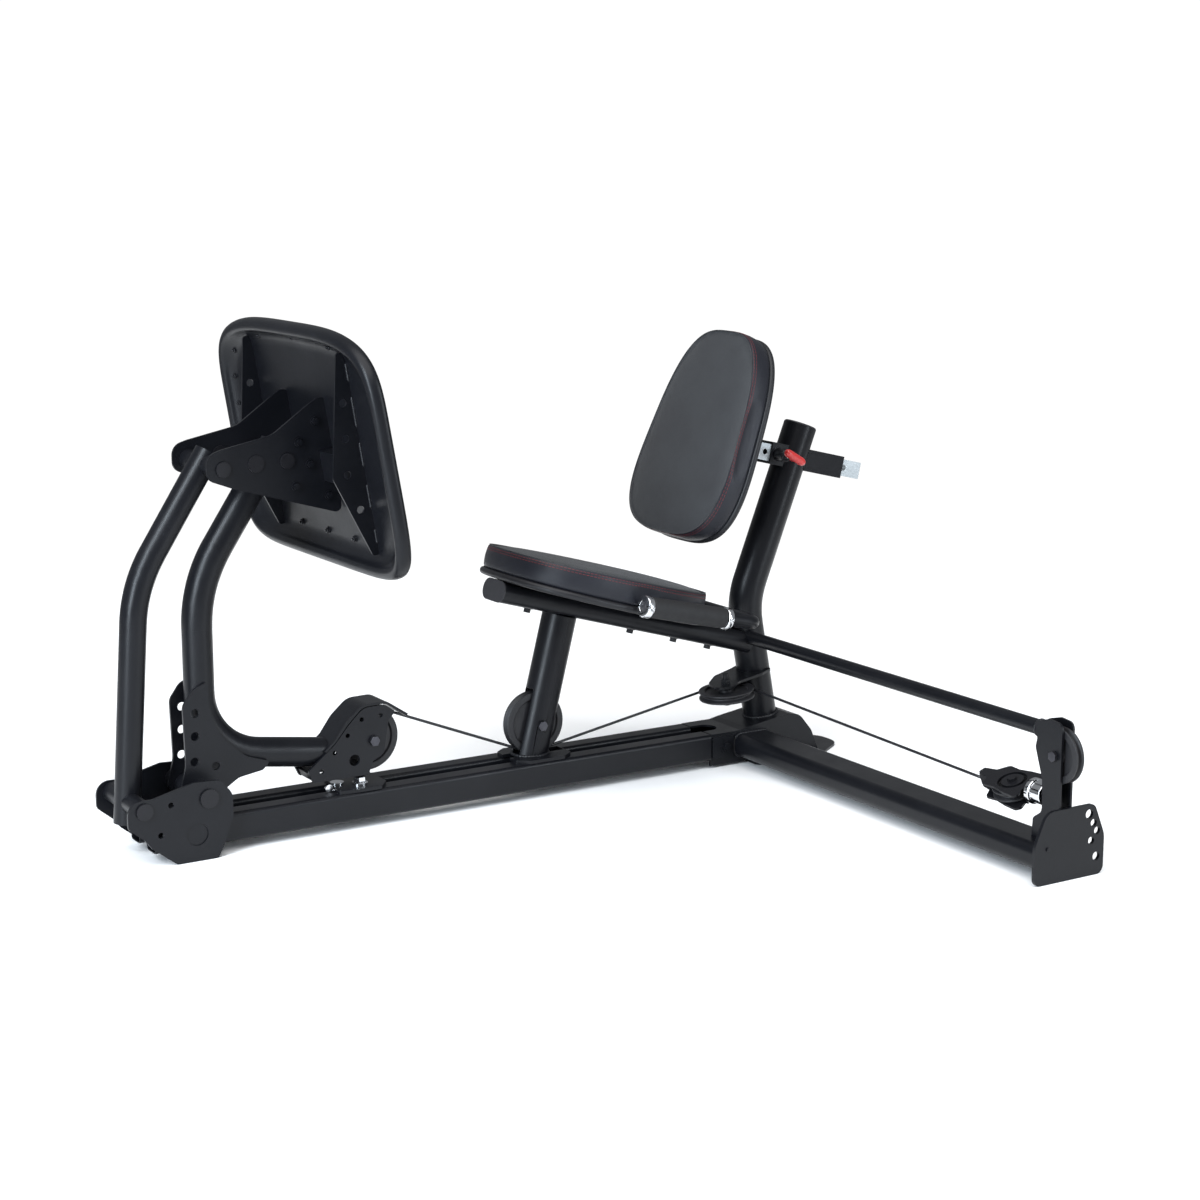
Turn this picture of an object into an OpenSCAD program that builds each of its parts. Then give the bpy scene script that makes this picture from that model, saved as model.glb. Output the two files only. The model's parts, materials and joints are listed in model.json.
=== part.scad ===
// Leg press station with a side cable arm, for bolting to a home gym.
// X runs from the foot plate (-X) to the backrest mast (+X), Y across, Z up, floor at Z = 0.
// The origin is on the floor, on the centre plane, under the foot of the mast.

/* [Base frame] */
// Front end of the two floor rails
rail_front_x = -1252; // [-1256:1:-1246]
// Width of one rail
rail_w = 40; // [38:1:42]
// Height of one rail
rail_h = 50; // [46:1:52]
// Distance of each rail's centre from the centre plane
rail_y = 35; // [34:1:36]
// Wall of the rails and the side arm
rail_wall = 2.5; // [2:0.5:4]
// Thickness of the bracket plates
plate_t = 5; // [4:0.5:6]

/* [Press linkage] */
// Pivot of the press arm in the front brackets, along X
arm_pivot_x = -1164; // [-1166:1:-1162]
// Height of that pivot
arm_pivot_z = 104; // [102:1:106]
// Distance forward from the press arm to the front link
link_dx = 112; // [108:1:116]
// Drop from the press arm's pivots to the front link's
link_dz = 6; // [4:1:8]
// Outer diameter of the press arm tube
arm_d = 51; // [48:1:54]
// Outer diameter of the front link tube
link_d = 44.45; // [42:0.05:46]
// Radius of the pivot shafts
shaft_r = 10; // [8:0.5:11]
// Radial clearance of every running fit
run_gap = 0.06; // [0.03:0.01:0.09]

/* [Seat and mast] */
// Outer diameter of the mast and the seat post
post_d = 63.5; // [60:0.5:66]
// Wall of the round tubes
tube_wall = 3; // [2.5:0.5:4]
// Slope of the seat tube, high end in front
seat_slope = 16; // [15:0.1:16.4]
// Slope of the seat pad
pad_slope = 16.5; // [16:0.1:17]
// Recline of the back pad from upright
back_recline = 22.2; // [20:0.1:24]
// Slope of the backrest slide
slide_slope = 13.5; // [12.5:0.5:14]
// Length of the seat pad
seat_len = 420; // [400:5:440]
// Width of the seat pad
seat_w = 310; // [290:5:330]
// Height of the back pad along its slope
back_h = 392; // [380:2:404]
// Width of the back pad
back_w = 284; // [270:2:300]

/* [Foot plate] */
// Width of the foot plate
foot_w = 613; // [600:1:620]
// Height of the foot plate along its slope
foot_h = 412; // [404:1:418]
// Tilt of the foot plate's top away from the user
foot_tilt = 9.7; // [9:0.1:10.4]

/* [Cable and pulleys] */
// Outer radius of the two large pulleys
pulley_r = 57; // [55:0.5:58]
// Radius of the swivel pulley beside the mast
mast_pulley_r = 52; // [50:0.5:53]
// Radius of the pulley in the end upright
end_pulley_r = 46; // [44:0.5:47]
// Radius of the pulley in the cable block
block_pulley_r = 36; // [34:0.5:36]
// Width of the pulleys
pulley_w = 20; // [18:0.5:21]
// Diameter of the coated cable
cable_d = 5; // [4:0.5:5.5]

/* [Side arm] */
// Width of the flat-oval side arm
side_w = 85; // [80:1:88]
// Height of the side arm
side_h = 44; // [42:1:46]
// Distance from the centre plane to the end plate
side_reach = 898; // [880:1:910]

/* [Hidden] */
$fn = 48;
eps = 0.01;
bend_step = 0.15;                          // extra wall, inside and out, where a tube bends
side_gap = bend_step + 0.05;               // between the arm's tube and the plates beside it

rail_z = 41;                               // centre height of the rails
rail_top = rail_z + rail_h / 2;
rail_back_x = -150;                        // where the rails meet the rear channel
bracket_y = 70;                            // inner face of the front brackets and carriage plates
sleeve_y = bracket_y - 0.6;                // half length of the pivot sleeves
link_pivot_x = arm_pivot_x - link_dx;
link_pivot_z = arm_pivot_z - link_dz;
arm_top_x = -1009;                         // pivot of the carriage on the press arm
arm_top_z = 650;
link_top_x = arm_top_x - link_dx;          // pivot of the carriage on the front link
link_top_z = arm_top_z - link_dz;
sleeve_r = 17;
tail_x = -841;                             // pulley in the press arm's tail
tail_z = 147;
post_x = -505.5;                           // pulley in the seat post
post_z = 128;
mast_pulley_x = -114;                      // pulley beside the mast, its axis almost upright
mast_pulley_y = -50;
mast_pulley_z = 142;
mast_pulley_lean = 5.8;                     // lean of that axis toward the seat
mast_pulley_w = 16;
end_y = -882;                              // pulley in the end upright
end_z = 203;
upright_x = -49;                           // middle of the end upright, brace and side cable
block_y = -777;                            // pulley in the cable block
block_z = 125;
block_tilt = 20;                           // lean of the block about the cable
groove = 3.5;                              // depth of the cable's centre below a pulley's rim
side_x = -54.5;                            // centre of the side arm
side_z = 38;
seat_front = [-582, 379];                  // centre of the seat tube's front end, X and Z
seat_tube_len = 559;
seat_tube_w = 75;
seat_tube_h = 38;
pad_mid = [-376, 338];                     // middle of the seat board's underside, X and Z
board_t = 14;
seat_pad_t = 50;
back_mid = [-164, 637];                    // middle of the back pad's front face, X and Z
back_pad_t = 48;
back_board_t = 12;
foot_mid = [-933, 667];                    // middle of the foot plate's rim, X and Z
slide_at = [97, 562];                      // a point on the backrest slide's centre line, X and Z
rib_y = 183;                               // distance of each rib from the centre plane
grip_y = 185;                              // distance of each grip from the centre plane
bar_r = 12.7;
cap_grey = [0.3, 0.3, 0.32];
paint = [0.13, 0.14, 0.16];
vinyl = [0.2, 0.21, 0.22];
chrome = [0.8, 0.8, 0.82];
black = [0.06, 0.06, 0.07];
red = [0.75, 0.15, 0.15];

// ---- Helpers ----

function unit(v) = v / norm(v);
function turn(a, b) = let (d = b - a) d > 180 ? d - 360 : d < -180 ? d + 360 : d;

// The arc that rounds corner p of an outline, with a before it and b after it
function corner(a, p, b, r, n) =
    let (u = unit(a - p), v = unit(b - p), half = acos(u * v) / 2,
         c = p + unit(u + v) * r / sin(half),
         s = p + u * r / tan(half) - c, e = p + v * r / tan(half) - c,
         a0 = atan2(s[1], s[0]), da = turn(a0, atan2(e[1], e[0])))
    [for (i = [0 : n]) c + r * [cos(a0 + da * i / n), sin(a0 + da * i / n)]];

// An outline with each corner rounded; a point is [x, y, radius]
function rounded(pts, n = 8) =
    [for (i = [0 : len(pts) - 1])
        let (p = pts[i], a = pts[(i + len(pts) - 1) % len(pts)], b = pts[(i + 1) % len(pts)])
        each p[2] > 0 ? corner([a[0], a[1]], [p[0], p[1]], [b[0], b[1]], p[2], n) : [[p[0], p[1]]]];

// A rectangle about the origin with rounded corners
function round_rect(w, h, r, n = 6) =
    rounded([[-w / 2, -h / 2, r], [w / 2, -h / 2, r], [w / 2, h / 2, r], [-w / 2, h / 2, r]], n);

// An egg outline: half width w + taper * v, height h, squareness n
function egg(w, taper, h, n, steps = 72) =
    [for (i = [0 : steps - 1])
        let (a = 360 * i / steps, v = h / 2 * sign(sin(a)) * pow(abs(sin(a)), 2 / n))
        [(w + taper * v) * sign(cos(a)) * pow(abs(cos(a)), 2 / n), v]];

// A shield outline: half width w - taper * v, top above and bottom below the X axis, each half
// with its own squareness
function shield(w, taper, top, bottom, n_top, n_bottom, steps = 96) =
    [for (i = [0 : steps - 1])
        let (a = 360 * i / steps, s = sin(a), n = s < 0 ? n_bottom : n_top,
             v = (s < 0 ? bottom : top) * sign(s) * pow(abs(s), 2 / n))
        [(w - taper * v) * sign(cos(a)) * pow(abs(cos(a)), 2 / n), v]];

// A plate parallel to the XZ plane, from y0 to y0 + t
module side_plate(y0, t) { translate([0, y0 + t, 0]) rotate([90, 0, 0]) linear_extrude(t) children(); }

// A plate parallel to the YZ plane, from x0 to x0 + t
module cross_plate(x0, t) { translate([x0, 0, 0]) rotate([90, 0, 90]) linear_extrude(t) children(); }

// A cylinder along Y at x, z, from y0 to y1
module y_rod(x, z, y0, y1, r) { translate([x, y1, z]) rotate([90, 0, 0]) cylinder(h = y1 - y0, r = r); }

// The torus sector that rounds corner p of a bent tube, hollow where hole_r is above zero.
// Its wall is a little thicker than the straight tube's, which ends just inside it.
module xz_bend(a, p, b, bend_r, r, hole_r) {
    u = unit(a - p);
    v = unit(b - p);
    half = acos(u * v) / 2;
    c = p + unit(u + v) * bend_r / sin(half);
    s = p + u * bend_r / tan(half) - c;
    e = p + v * bend_r / tan(half) - c;
    a0 = atan2(s[1], s[0]);
    da = turn(a0, atan2(e[1], e[0]));
    translate([c[0], 0, c[1]]) rotate([90, 0, 0]) rotate([0, 0, da > 0 ? a0 : a0 + da])
        rotate_extrude(angle = abs(da)) translate([bend_r, 0]) difference() {
            circle(r = r + bend_step);
            if (hole_r > 0) circle(r = hole_r - bend_step);
        }
}

// A straight bar between two points of the XZ plane, hollow where hole_r is above zero
module xz_straight(a, b, r, hole_r, in_a = 0, in_b = 0) {
    d = b - a;
    translate([a[0], 0, a[1]]) rotate([0, atan2(d[0], d[1]), 0]) difference() {
        translate([0, 0, -in_a]) cylinder(h = norm(d) + in_a + in_b, r = r);
        if (hole_r > 0) translate([0, 0, -in_a - 1]) cylinder(h = norm(d) + in_a + in_b + 2, r = hole_r);
    }
}

// A bent bar or tube in the XZ plane through points, each inner corner with its bend radius
module xz_bar(pts, bends, r, hole_r = 0) {
    function trim(i, toward) =
        i == 0 || i == len(pts) - 1 ? pts[i] :
        let (u = unit(pts[i - 1] - pts[i]), v = unit(pts[i + 1] - pts[i]), half = acos(u * v) / 2)
        pts[i] + unit(pts[toward] - pts[i]) * bends[i - 1] / tan(half);
    for (i = [0 : len(pts) - 2]) xz_straight(trim(i, i + 1), trim(i + 1, i), r, hole_r,
        i > 0 ? 1 : 0, i < len(pts) - 2 ? 1 : 0);
    for (i = [1 : len(pts) - 2]) xz_bend(pts[i - 1], pts[i], pts[i + 1], bends[i - 1], r, hole_r);
}

// A grooved pulley about the Z axis with a bore and a raised hub
module pulley(r, w, bore) {
    rotate_extrude() polygon([
        [bore, -w / 2 - 1], [bore + 7, -w / 2 - 1], [bore + 7, -w / 2 + 4], [r - 13, -w / 2 + 4],
        [r - 11, -w / 2], [r, -w / 2], [r, -w / 2 + 3], [r - groove - 3, -1.5],
        [r - groove - 3, 1.5], [r, w / 2 - 3], [r, w / 2],
        [r - 11, w / 2], [r - 13, w / 2 - 4], [bore + 7, w / 2 - 4], [bore + 7, w / 2 + 1],
        [bore, w / 2 + 1]]);
}

// A hexagon bolt head standing on z = 0, with its washer
module bolt_head(r = 6.5, h = 5) {
    cylinder(h = 1.5, r = r * 1.35);
    translate([0, 0, 1.5 - eps]) cylinder(h = h, r = r, $fn = 6);
}

// Bolt heads on a plate parallel to XZ: outward is -1 for the near side, 1 for the far side
module side_bolts(points, y, outward, r = 6.5) {
    for (p = points) translate([p[0], y, p[1]]) rotate([-90 * outward, 0, 0]) bolt_head(r);
}

// ---- Base frame ----

stop_bolt_at = [-866, -24];                 // bolt of the stop plate, into the near rail

module rail(side) {
    color(paint) difference() {
        translate([rail_front_x, side * rail_y, rail_z]) rotate([90, 0, 90])
            linear_extrude(rail_back_x - rail_front_x) difference() {
                polygon(round_rect(rail_w, rail_h, 7));
                polygon(round_rect(rail_w - 2 * rail_wall, rail_h - 2 * rail_wall, 4.5));
            }
        y_rod(-1186, 46, -80, 80, 19);
        translate([stop_bolt_at[0], stop_bolt_at[1], rail_z]) cylinder(h = rail_h, r = 6.2);
    }
}
module rail_near() { rail(-1); }
module rail_far() { rail(1); }

module front_cross_member() {
    color(paint) translate([-1222, -bracket_y, 0]) cube([70, 2 * bracket_y, rail_z - rail_h / 2]);
}

module front_cross_tube() {
    color(paint) difference() {
        // its ends are recessed in the brackets
        y_rod(-1186, 46, -bracket_y - plate_t + 2, bracket_y + plate_t - 2, 19);
        y_rod(-1186, 46, -bracket_y + 2, bracket_y - 2, 16);
    }
}

module front_bracket(side) {
    outline = rounded([
        [-1304, 118, 24], [-1304, 72, 12], [-1276, 49, 0], [-1264, 33, 8], [-1222, 0, 12],
        [-1150, 0, 6], [-1137, 27, 20], [-1122, 70, 12], [-1122, 106, 26], [-1142, 132, 20],
        [-1190, 134, 14], [-1262, 116, 30]]);
    color(paint) difference() {
        union() {
            side_plate(side > 0 ? bracket_y : -bracket_y - plate_t, plate_t) polygon(outline);
            // the lip folded inward along the rear lower edge
            side_plate(side > 0 ? bracket_y - 12 : -bracket_y, 12)
                polygon([[-1151, 14], [-1146, 12], [-1127, 58], [-1132, 60]]);
        }
        y_rod(link_pivot_x, link_pivot_z, -90, 90, shaft_r);
        y_rod(arm_pivot_x, arm_pivot_z, -90, 90, shaft_r);
        y_rod(-1186, 46, -90, 90, 19);
        for (p = [[-1230, 102], [-1249, 54]]) y_rod(p[0], p[1], -90, 90, 5);
    }
}
module front_bracket_near() { front_bracket(-1); }
module front_bracket_far() { front_bracket(1); }

module pivot_shaft(x, z, cap_r) {
    color(black) {
        y_rod(x, z, -bracket_y - plate_t, bracket_y + plate_t, shaft_r);
        for (y = [-bracket_y - plate_t - 4, bracket_y + plate_t]) y_rod(x, z, y, y + 4, cap_r);
    }
}
module arm_shaft() { pivot_shaft(arm_pivot_x, arm_pivot_z, 16); }
module link_shaft() { pivot_shaft(link_pivot_x, link_pivot_z, 14); }

module rear_channel() {
    outer = rounded([
        [-150, 5, 0], [-150, 66, 5], [-82, 66, 20], [-66, 69.5, 20],
        [32, 84, 12], [58, 78, 30], [86, 44, 40], [102, 5, 0]]);
    inner = rounded([
        [-160, -5, 0], [-160, 62, 0], [-81, 62, 20], [-65, 65.5, 20],
        [30, 79.5, 8], [55, 74, 26], [82, 42, 36], [98, -5, 0]]);
    color(paint) difference() {
        side_plate(-51, 102) polygon(outer);
        side_plate(-47, 94) polygon(inner);
        // the rounded notch between the two front tongues
        translate([-128, 0, 50]) cylinder(h = 40, r = 22);
        translate([-152, -22, 50]) cube([24, 44, 40]);
    }
}

module rear_floor_plate() {
    outline = rounded([
        [-60, -78, 10], [95, -78, 50], [165, -30, 40], [165, 30, 40], [95, 78, 50], [-60, 78, 10]]);
    color(paint) linear_extrude(5) polygon(outline);
}

module rear_clamp() {
    color(paint) {
        side_plate(-56, 5) polygon(rounded([[-148, 20, 4], [-100, 20, 4], [-100, 60, 4], [-148, 60, 4]]));
        side_bolts([[-118, 40]], -56, -1, 8);
    }
}

module stop_plate() {
    color(paint) difference() {
        translate([0, 0, rail_top]) linear_extrude(6)
            polygon(rounded([[-918, -50, 6], [-880, -54, 4], [-838, -54, 8], [-818, -30, 10], [-818, 50, 6],
                [-900, 50, 6]]));
        translate([stop_bolt_at[0], stop_bolt_at[1], rail_top - 1]) cylinder(h = 8, r = 6.2);
        translate([-898, 0, rail_top - 1]) cylinder(h = 8, r = 7.2);
    }
}

module stop_bolt() {
    color(chrome) translate([stop_bolt_at[0], stop_bolt_at[1], rail_top + 6]) {
        cylinder(h = 3, r = 14);
        translate([0, 0, 3]) cylinder(h = 10, r = 11, $fn = 6);
        translate([0, 0, -18]) cylinder(h = 18, r = 6);
    }
}

module cable_anchor() {
    color(chrome) {
        translate([-898, 0, rail_top - 8]) cylinder(h = 14, r = 6.8);
        translate([-898, 0, rail_top + 6]) cylinder(h = 2.5, r = 12);
        // the disc that stands on the plate's front edge
        y_rod(-926, rail_top + 7.2, -29, -24, 7);
        translate([-926, -26.5, rail_top + 3]) rotate([0, 90, 0]) cylinder(h = 11.6, r = 2.5);
    }
}

// ---- Seat ----

// Puts children along the seat tube: x down its slope from the front end, z square to it
module along_seat() { translate([seat_front[0], 0, seat_front[1]]) rotate([0, seat_slope, 0]) children(); }

module post_base_plate() {
    color(paint) difference() {
        translate([0, 0, rail_top]) linear_extrude(6)
            polygon(rounded([[-562, -34, 8], [-540, -52, 8], [-470, -52, 8], [-446, -34, 8], [-446, 34, 8],
                [-470, 52, 8], [-540, 52, 8], [-562, 34, 8]]));
        translate([-562, -13, rail_top - 1]) cube([114, 26, 8]);
    }
}

module seat_post() {
    foot = [-512.5, 73];
    head = [-448, 324.5];
    lean = atan2(head[0] - foot[0], head[1] - foot[1]);
    color(paint) difference() {
        translate([foot[0], 0, foot[1]]) rotate([0, lean, 0])
            translate([0, 0, -14]) cylinder(h = 290, r = post_d / 2);
        translate([foot[0], 0, foot[1]]) rotate([0, lean, 0])
            translate([0, 0, -30]) cylinder(h = 350, r = post_d / 2 - tube_wall);
        // trimmed to the base plate below and to the seat tube above
        translate([-620, -60, 0]) cube([220, 120, rail_top + 6]);
        along_seat() translate([0, -60, -seat_tube_h / 2]) cube([300, 120, 80]);
        // the slot that the pulley turns in
        translate([-600, -12.5, 60]) cube([200, 25, 132]);
        y_rod(post_x, post_z, -50, 50, 6);
    }
}

module post_pulley() {
    color(black) translate([post_x, 0, post_z]) rotate([90, 0, 0])
        pulley(pulley_r, pulley_w, 6 + run_gap);
}

module post_axle() {
    color(chrome) {
        y_rod(post_x, post_z, -33, 33, 6);
        for (y = [-38, 33]) translate([post_x, y, post_z])
            rotate([-90, 0, 0]) cylinder(h = 5, r = 9.5, $fn = 6);
    }
}

module seat_tube_profile(grow = 0) {
    polygon(round_rect(seat_tube_h + 2 * grow, seat_tube_w + 2 * grow, seat_tube_h / 2 - 1 + grow, 10));
}

module seat_tube() {
    color(paint) difference() {
        along_seat() rotate([0, 90, 0]) linear_extrude(seat_tube_len) difference() {
            seat_tube_profile();
            seat_tube_profile(-tube_wall);
        }
        // coped round the mast
        mast_solid(post_d / 2);
    }
}

module seat_tube_cap() {
    color(cap_grey) along_seat() rotate([0, 90, 0]) {
        translate([0, 0, -3]) linear_extrude(3) seat_tube_profile(0.5);
        linear_extrude(14) seat_tube_profile(-tube_wall);
    }
}

module seat_bolts() {
    color(black) along_seat() for (x = [75, 302, 402, 482])
        translate([x, 0, -seat_tube_h / 2]) rotate([180, 0, 0]) bolt_head(7, 7);
}

// Puts children on the seat board's underside, y of the outline toward the front end
module on_seat() {
    translate([pad_mid[0], 0, pad_mid[1]]) rotate([0, pad_slope, 0]) rotate([0, 0, 90]) children();
}

module seat_board() {
    color(black) difference() {
        on_seat() linear_extrude(board_t) polygon(egg(seat_w / 2 + 4, 0.1, seat_len + 10, 2.4));
        // the groove that drops over the seat tube
        along_seat() rotate([0, 90, 0]) translate([0, 0, -20]) linear_extrude(seat_tube_len + 40)
            seat_tube_profile(0.8);
    }
}

module seat_pad() {
    color(vinyl) on_seat() translate([0, 0, board_t])
        linear_extrude(seat_pad_t) polygon(egg(seat_w / 2, 0.1, seat_len, 2.4));
}

// ---- Handles ----

handle_front = [-389, 361];
handle_back = [-143, 303.5];
handle_dir = unit(handle_back - handle_front);
handle_len = norm(handle_back - handle_front);
handle_bend = 22;

// Puts children in the handle bar's own sloping plane: x back along the grips, y across
module on_handles() {
    translate([handle_front[0], 0, handle_front[1]])
        rotate([0, -atan2(handle_dir[1], handle_dir[0]), 0]) children();
}

module handle_bar() {
    color(paint) {
        on_handles() {
            for (s = [-1, 1]) {
                translate([4, s * grip_y, 0]) rotate([0, 90, 0])
                    cylinder(h = handle_len - handle_bend - 4, r = bar_r);
                translate([handle_len - handle_bend, s * (grip_y - handle_bend), 0])
                    rotate([0, 0, s > 0 ? 0 : -90])
                    rotate_extrude(angle = 90) translate([handle_bend, 0]) circle(r = bar_r);
            }
            translate([handle_len, 0, 0]) rotate([90, 0, 0])
                cylinder(h = 2 * (grip_y - handle_bend), r = bar_r, center = true);
        }
        // the saddle that carries the bar on the seat tube
        difference() {
            translate([handle_back[0] - 16, -26, handle_back[1] - 48]) cube([32, 52, 48]);
            along_seat() rotate([0, 90, 0]) linear_extrude(seat_tube_len) seat_tube_profile();
            on_handles() translate([handle_len, 0, 0]) rotate([90, 0, 0])
                cylinder(h = 80, r = bar_r, center = true);
        }
    }
}

module grips() {
    color(black) on_handles() for (s = [-1, 1]) translate([14, s * grip_y, 0]) rotate([0, 90, 0])
        rotate_extrude() polygon([
            [bar_r, 0], [17.5, 0], [18.5, 3], [18.5, 159], [17.5, 162], [bar_r, 162]]);
}

module grip_collars() {
    color(chrome) on_handles() for (s = [-1, 1]) translate([0, s * grip_y, 0]) rotate([0, 90, 0]) {
        // the front collar laps over the bar's end
        rotate_extrude() polygon([
            [10.8, 0], [17.5, 0], [19.5, 1.5], [20, 4], [20, 12], [18, 14],
            [bar_r, 14], [bar_r, 3.9], [10.8, 3.9]]);
        translate([0, 0, 176]) rotate_extrude() polygon([
            [bar_r, 0], [18, 0], [20, 2], [20, 10], [18, 12], [bar_r, 12]]);
    }
}

// ---- Mast ----

mast_path = [[3.9, 55], [-43.2, 302.2], [85, 629]];

module mast_solid(r, hole_r = 0) { xz_bar(mast_path, [150], r, hole_r); }

module mast() {
    color(paint) difference() {
        mast_solid(post_d / 2, post_d / 2 - tube_wall);
        // cut to sit on the sloping channel
        side_plate(-60, 120) polygon([[-66, 0], [-66, 69.5], [32, 84], [60, 84], [60, 0]]);
        receiver_frame() translate([-120, -20.2, -21.2]) cube([240, 40.4, 42.4]);
    }
}

module mast_cap() {
    up = unit(mast_path[2] - mast_path[1]);
    tilt = atan2(up[0], up[1]);
    color(black) translate([mast_path[2][0], 0, mast_path[2][1]]) rotate([0, tilt, 0]) {
        cylinder(h = 2.5, r1 = post_d / 2, r2 = post_d / 2 - 2);
        translate([0, 0, -12]) cylinder(h = 12, r = post_d / 2 - tube_wall);
    }
}

// Puts children on the swivel pulley's leaning axis
module on_mast_pulley() {
    translate([mast_pulley_x, mast_pulley_y, mast_pulley_z]) rotate([0, -mast_pulley_lean, 0]) children();
}

module mast_pulley_bracket() {
    top_z = 14;
    low_z = -11;
    nose = rounded([
        [-28, -16, 16], [-4, -26, 14], [30, -6, 30], [88, 4, 12], [118, 18, 6],
        [112, 60, 0], [88, 86, 6], [62, 74, 20], [14, 58, 30], [-24, 24, 22]]);
    tongue = rounded([[-14, -14, 13], [100, -14, 0], [100, 14, 0], [-14, 14, 13]]);
    color(paint) difference() {
        on_mast_pulley() {
            translate([0, 0, top_z]) linear_extrude(plate_t) polygon(nose);
            translate([0, 0, low_z - plate_t]) rotate(26) linear_extrude(plate_t) polygon(tongue);
        }
        mast_solid(post_d / 2);
        on_mast_pulley() cylinder(h = 60, r = 6, center = true);
    }
    color(chrome) on_mast_pulley() {
        translate([0, 0, low_z - plate_t - 7]) cylinder(h = 61, r = 6);
        for (z = [low_z - plate_t - 6, top_z + plate_t]) translate([0, 0, z])
            cylinder(h = z > 0 ? 9 : 6, r = 9.5, $fn = 6);
    }
}

module mast_pulley() { color(black) on_mast_pulley() pulley(mast_pulley_r, mast_pulley_w, 6 + run_gap); }

// ---- Side arm and end upright ----

module side_arm() {
    color(paint) translate([side_x, -51, side_z]) rotate([90, 0, 0])
        linear_extrude(side_reach - 51) difference() {
            polygon(round_rect(side_w, side_h, 17, 8));
            polygon(round_rect(side_w - 2 * tube_wall, side_h - 2 * tube_wall, 14, 8));
        }
}

end_holes = [[-2, 104, 8], [8, 88, 6.5], [16, 74, 6.5], [4, 59, 6.5], [16, 31, 7.5]];  // X, Z and radius
end_rivet = [-89, 59];

module end_plate() {
    color(paint) difference() {
        side_plate(-side_reach - 6, 6) polygon(rounded([
            [-116, 0, 14], [32, 0, 14], [32, 66, 40], [9, 120, 14], [-92, 120, 24], [-116, 66, 40]]));
        for (p = end_holes) y_rod(p[0], p[1], -side_reach - 10, -side_reach + 4, p[2]);
    }
    color(paint) y_rod(end_rivet[0], end_rivet[1], -side_reach - 8, -side_reach - 6 + eps, 3.5);
}

module upright_plates() {
    outline = rounded([
        [-836, 60, 0], [-838, 92, 8], [-858, 106, 14], [-856, 160, 20], [-838, 210, 16], [-842, 226, 6],
        [-834, 234, 6], [-836, 252, 12], [-868, 261, 20], [-898, 258, 12], [-898, 60, 0]]);
    color(paint) difference() {
        for (x = [upright_x - 13.5, upright_x + 9.5]) cross_plate(x, 4) polygon(outline);
        translate([upright_x - 20, end_y, end_z]) rotate([0, 90, 0]) cylinder(h = 40, r = 6);
    }
}

module end_pulley() {
    color(black) translate([upright_x, end_y, end_z]) rotate([0, 90, 0])
        pulley(end_pulley_r, 16, 6 + run_gap);
}

module end_axle() {
    color(chrome) translate([upright_x, end_y, end_z]) rotate([0, 90, 0]) {
        cylinder(h = 27, r = 6, center = true);
        for (z = [-19.5, 13.5]) translate([0, 0, z]) cylinder(h = 6, r = 9, $fn = 6);
    }
}

module brace_tube() {
    brace_z = 238;
    brace_end = -833.8;
    color(paint) difference() {
        y_rod(upright_x, brace_z, brace_end, -31.5, 12.7);
        y_rod(upright_x, brace_z, brace_end - 1, -30, 10.7);
        // coped round the seat tube
        along_seat() rotate([0, 90, 0]) linear_extrude(seat_tube_len) seat_tube_profile(0.05);
    }
}

// Puts children in the cable block's frame: x along the cable away from the mast, z on the pulley's axis
module in_block() {
    translate([upright_x, block_y, block_z]) rotate([0, -block_tilt, 0]) rotate([0, 0, -90]) children();
}

module cable_block() {
    plate = rounded([
        [-75, -7, 3], [-75, 7, 3], [-50, 12, 4], [-38, 32, 8], [-14, 30, 10], [12, 35, 20], [38, 37, 6],
        [44, 29, 6], [37, 12, 10], [37, -12, 10], [44, -29, 6], [38, -37, 6], [12, -35, 20], [-14, -30, 10],
        [-38, -32, 8], [-50, -12, 4]]);
    color(black) in_block() {
        for (z = [-14, 10]) translate([0, 0, z]) linear_extrude(4) difference() {
            polygon(plate);
            circle(r = 5);
            for (a = [0, 180]) rotate(a) difference() {
                circle(r = 25);
                circle(r = 19);
                polygon([[0, 0], [-60, 12], [-60, -60], [60, -60], [60, -12]]);
            }
        }
        // the clamp that grips the cable's end
        translate([-75, -7, -10]) cube([28, 14, 20]);
        translate([36.4, -12, -14]) cube([5, 24, 28]);
        translate([0, 0, -16]) cylinder(h = 32, r = 5);
        for (z = [-19, 14]) translate([0, 0, z]) cylinder(h = 5, r = 8, $fn = 6);
    }
}

module block_pulley() { color(black) in_block() pulley(block_pulley_r, 16, 5 + run_gap); }

module block_spool() {
    color(chrome) translate([upright_x, 0, block_z + 6]) rotate([90, 0, 0]) rotate_extrude() polygon([
        [0, 819.5], [10, 819.5], [10, 822], [20.5, 822], [21.5, 823.5], [21.5, 830], [20.5, 832],
        [18.5, 833], [18.5, 853], [17.5, 854.5], [8, 854.5], [8, 864], [0, 864]]);
}

// ---- Cable ----

// Joins a centre line's rings into one tube with n sides
module swept(path, r, n = 8) {
    function tangent(i) = unit(path[min(i + 1, len(path) - 1)] - path[max(i - 1, 0)]);
    function across(i) =
        let (t = tangent(i), u = abs(t[2]) > 0.9 ? [0, 1, 0] : [0, 0, 1]) unit(cross(t, u));
    rings = [for (i = [0 : len(path) - 1]) let (t = tangent(i), s = across(i), u = cross(s, t))
        for (k = [0 : n - 1]) path[i] + r * (cos(360 * k / n) * s + sin(360 * k / n) * u)];
    ends = [[for (k = [0 : n - 1]) k], [for (k = [0 : n - 1]) (len(path) - 1) * n + n - 1 - k]];
    walls = [for (i = [0 : len(path) - 2], k = [0 : n - 1]) let (a = i * n + k, b = i * n + (k + 1) % n)
        [a, a + n, b + n, b]];
    polyhedron(points = rings, faces = concat(ends, walls));
}

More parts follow.
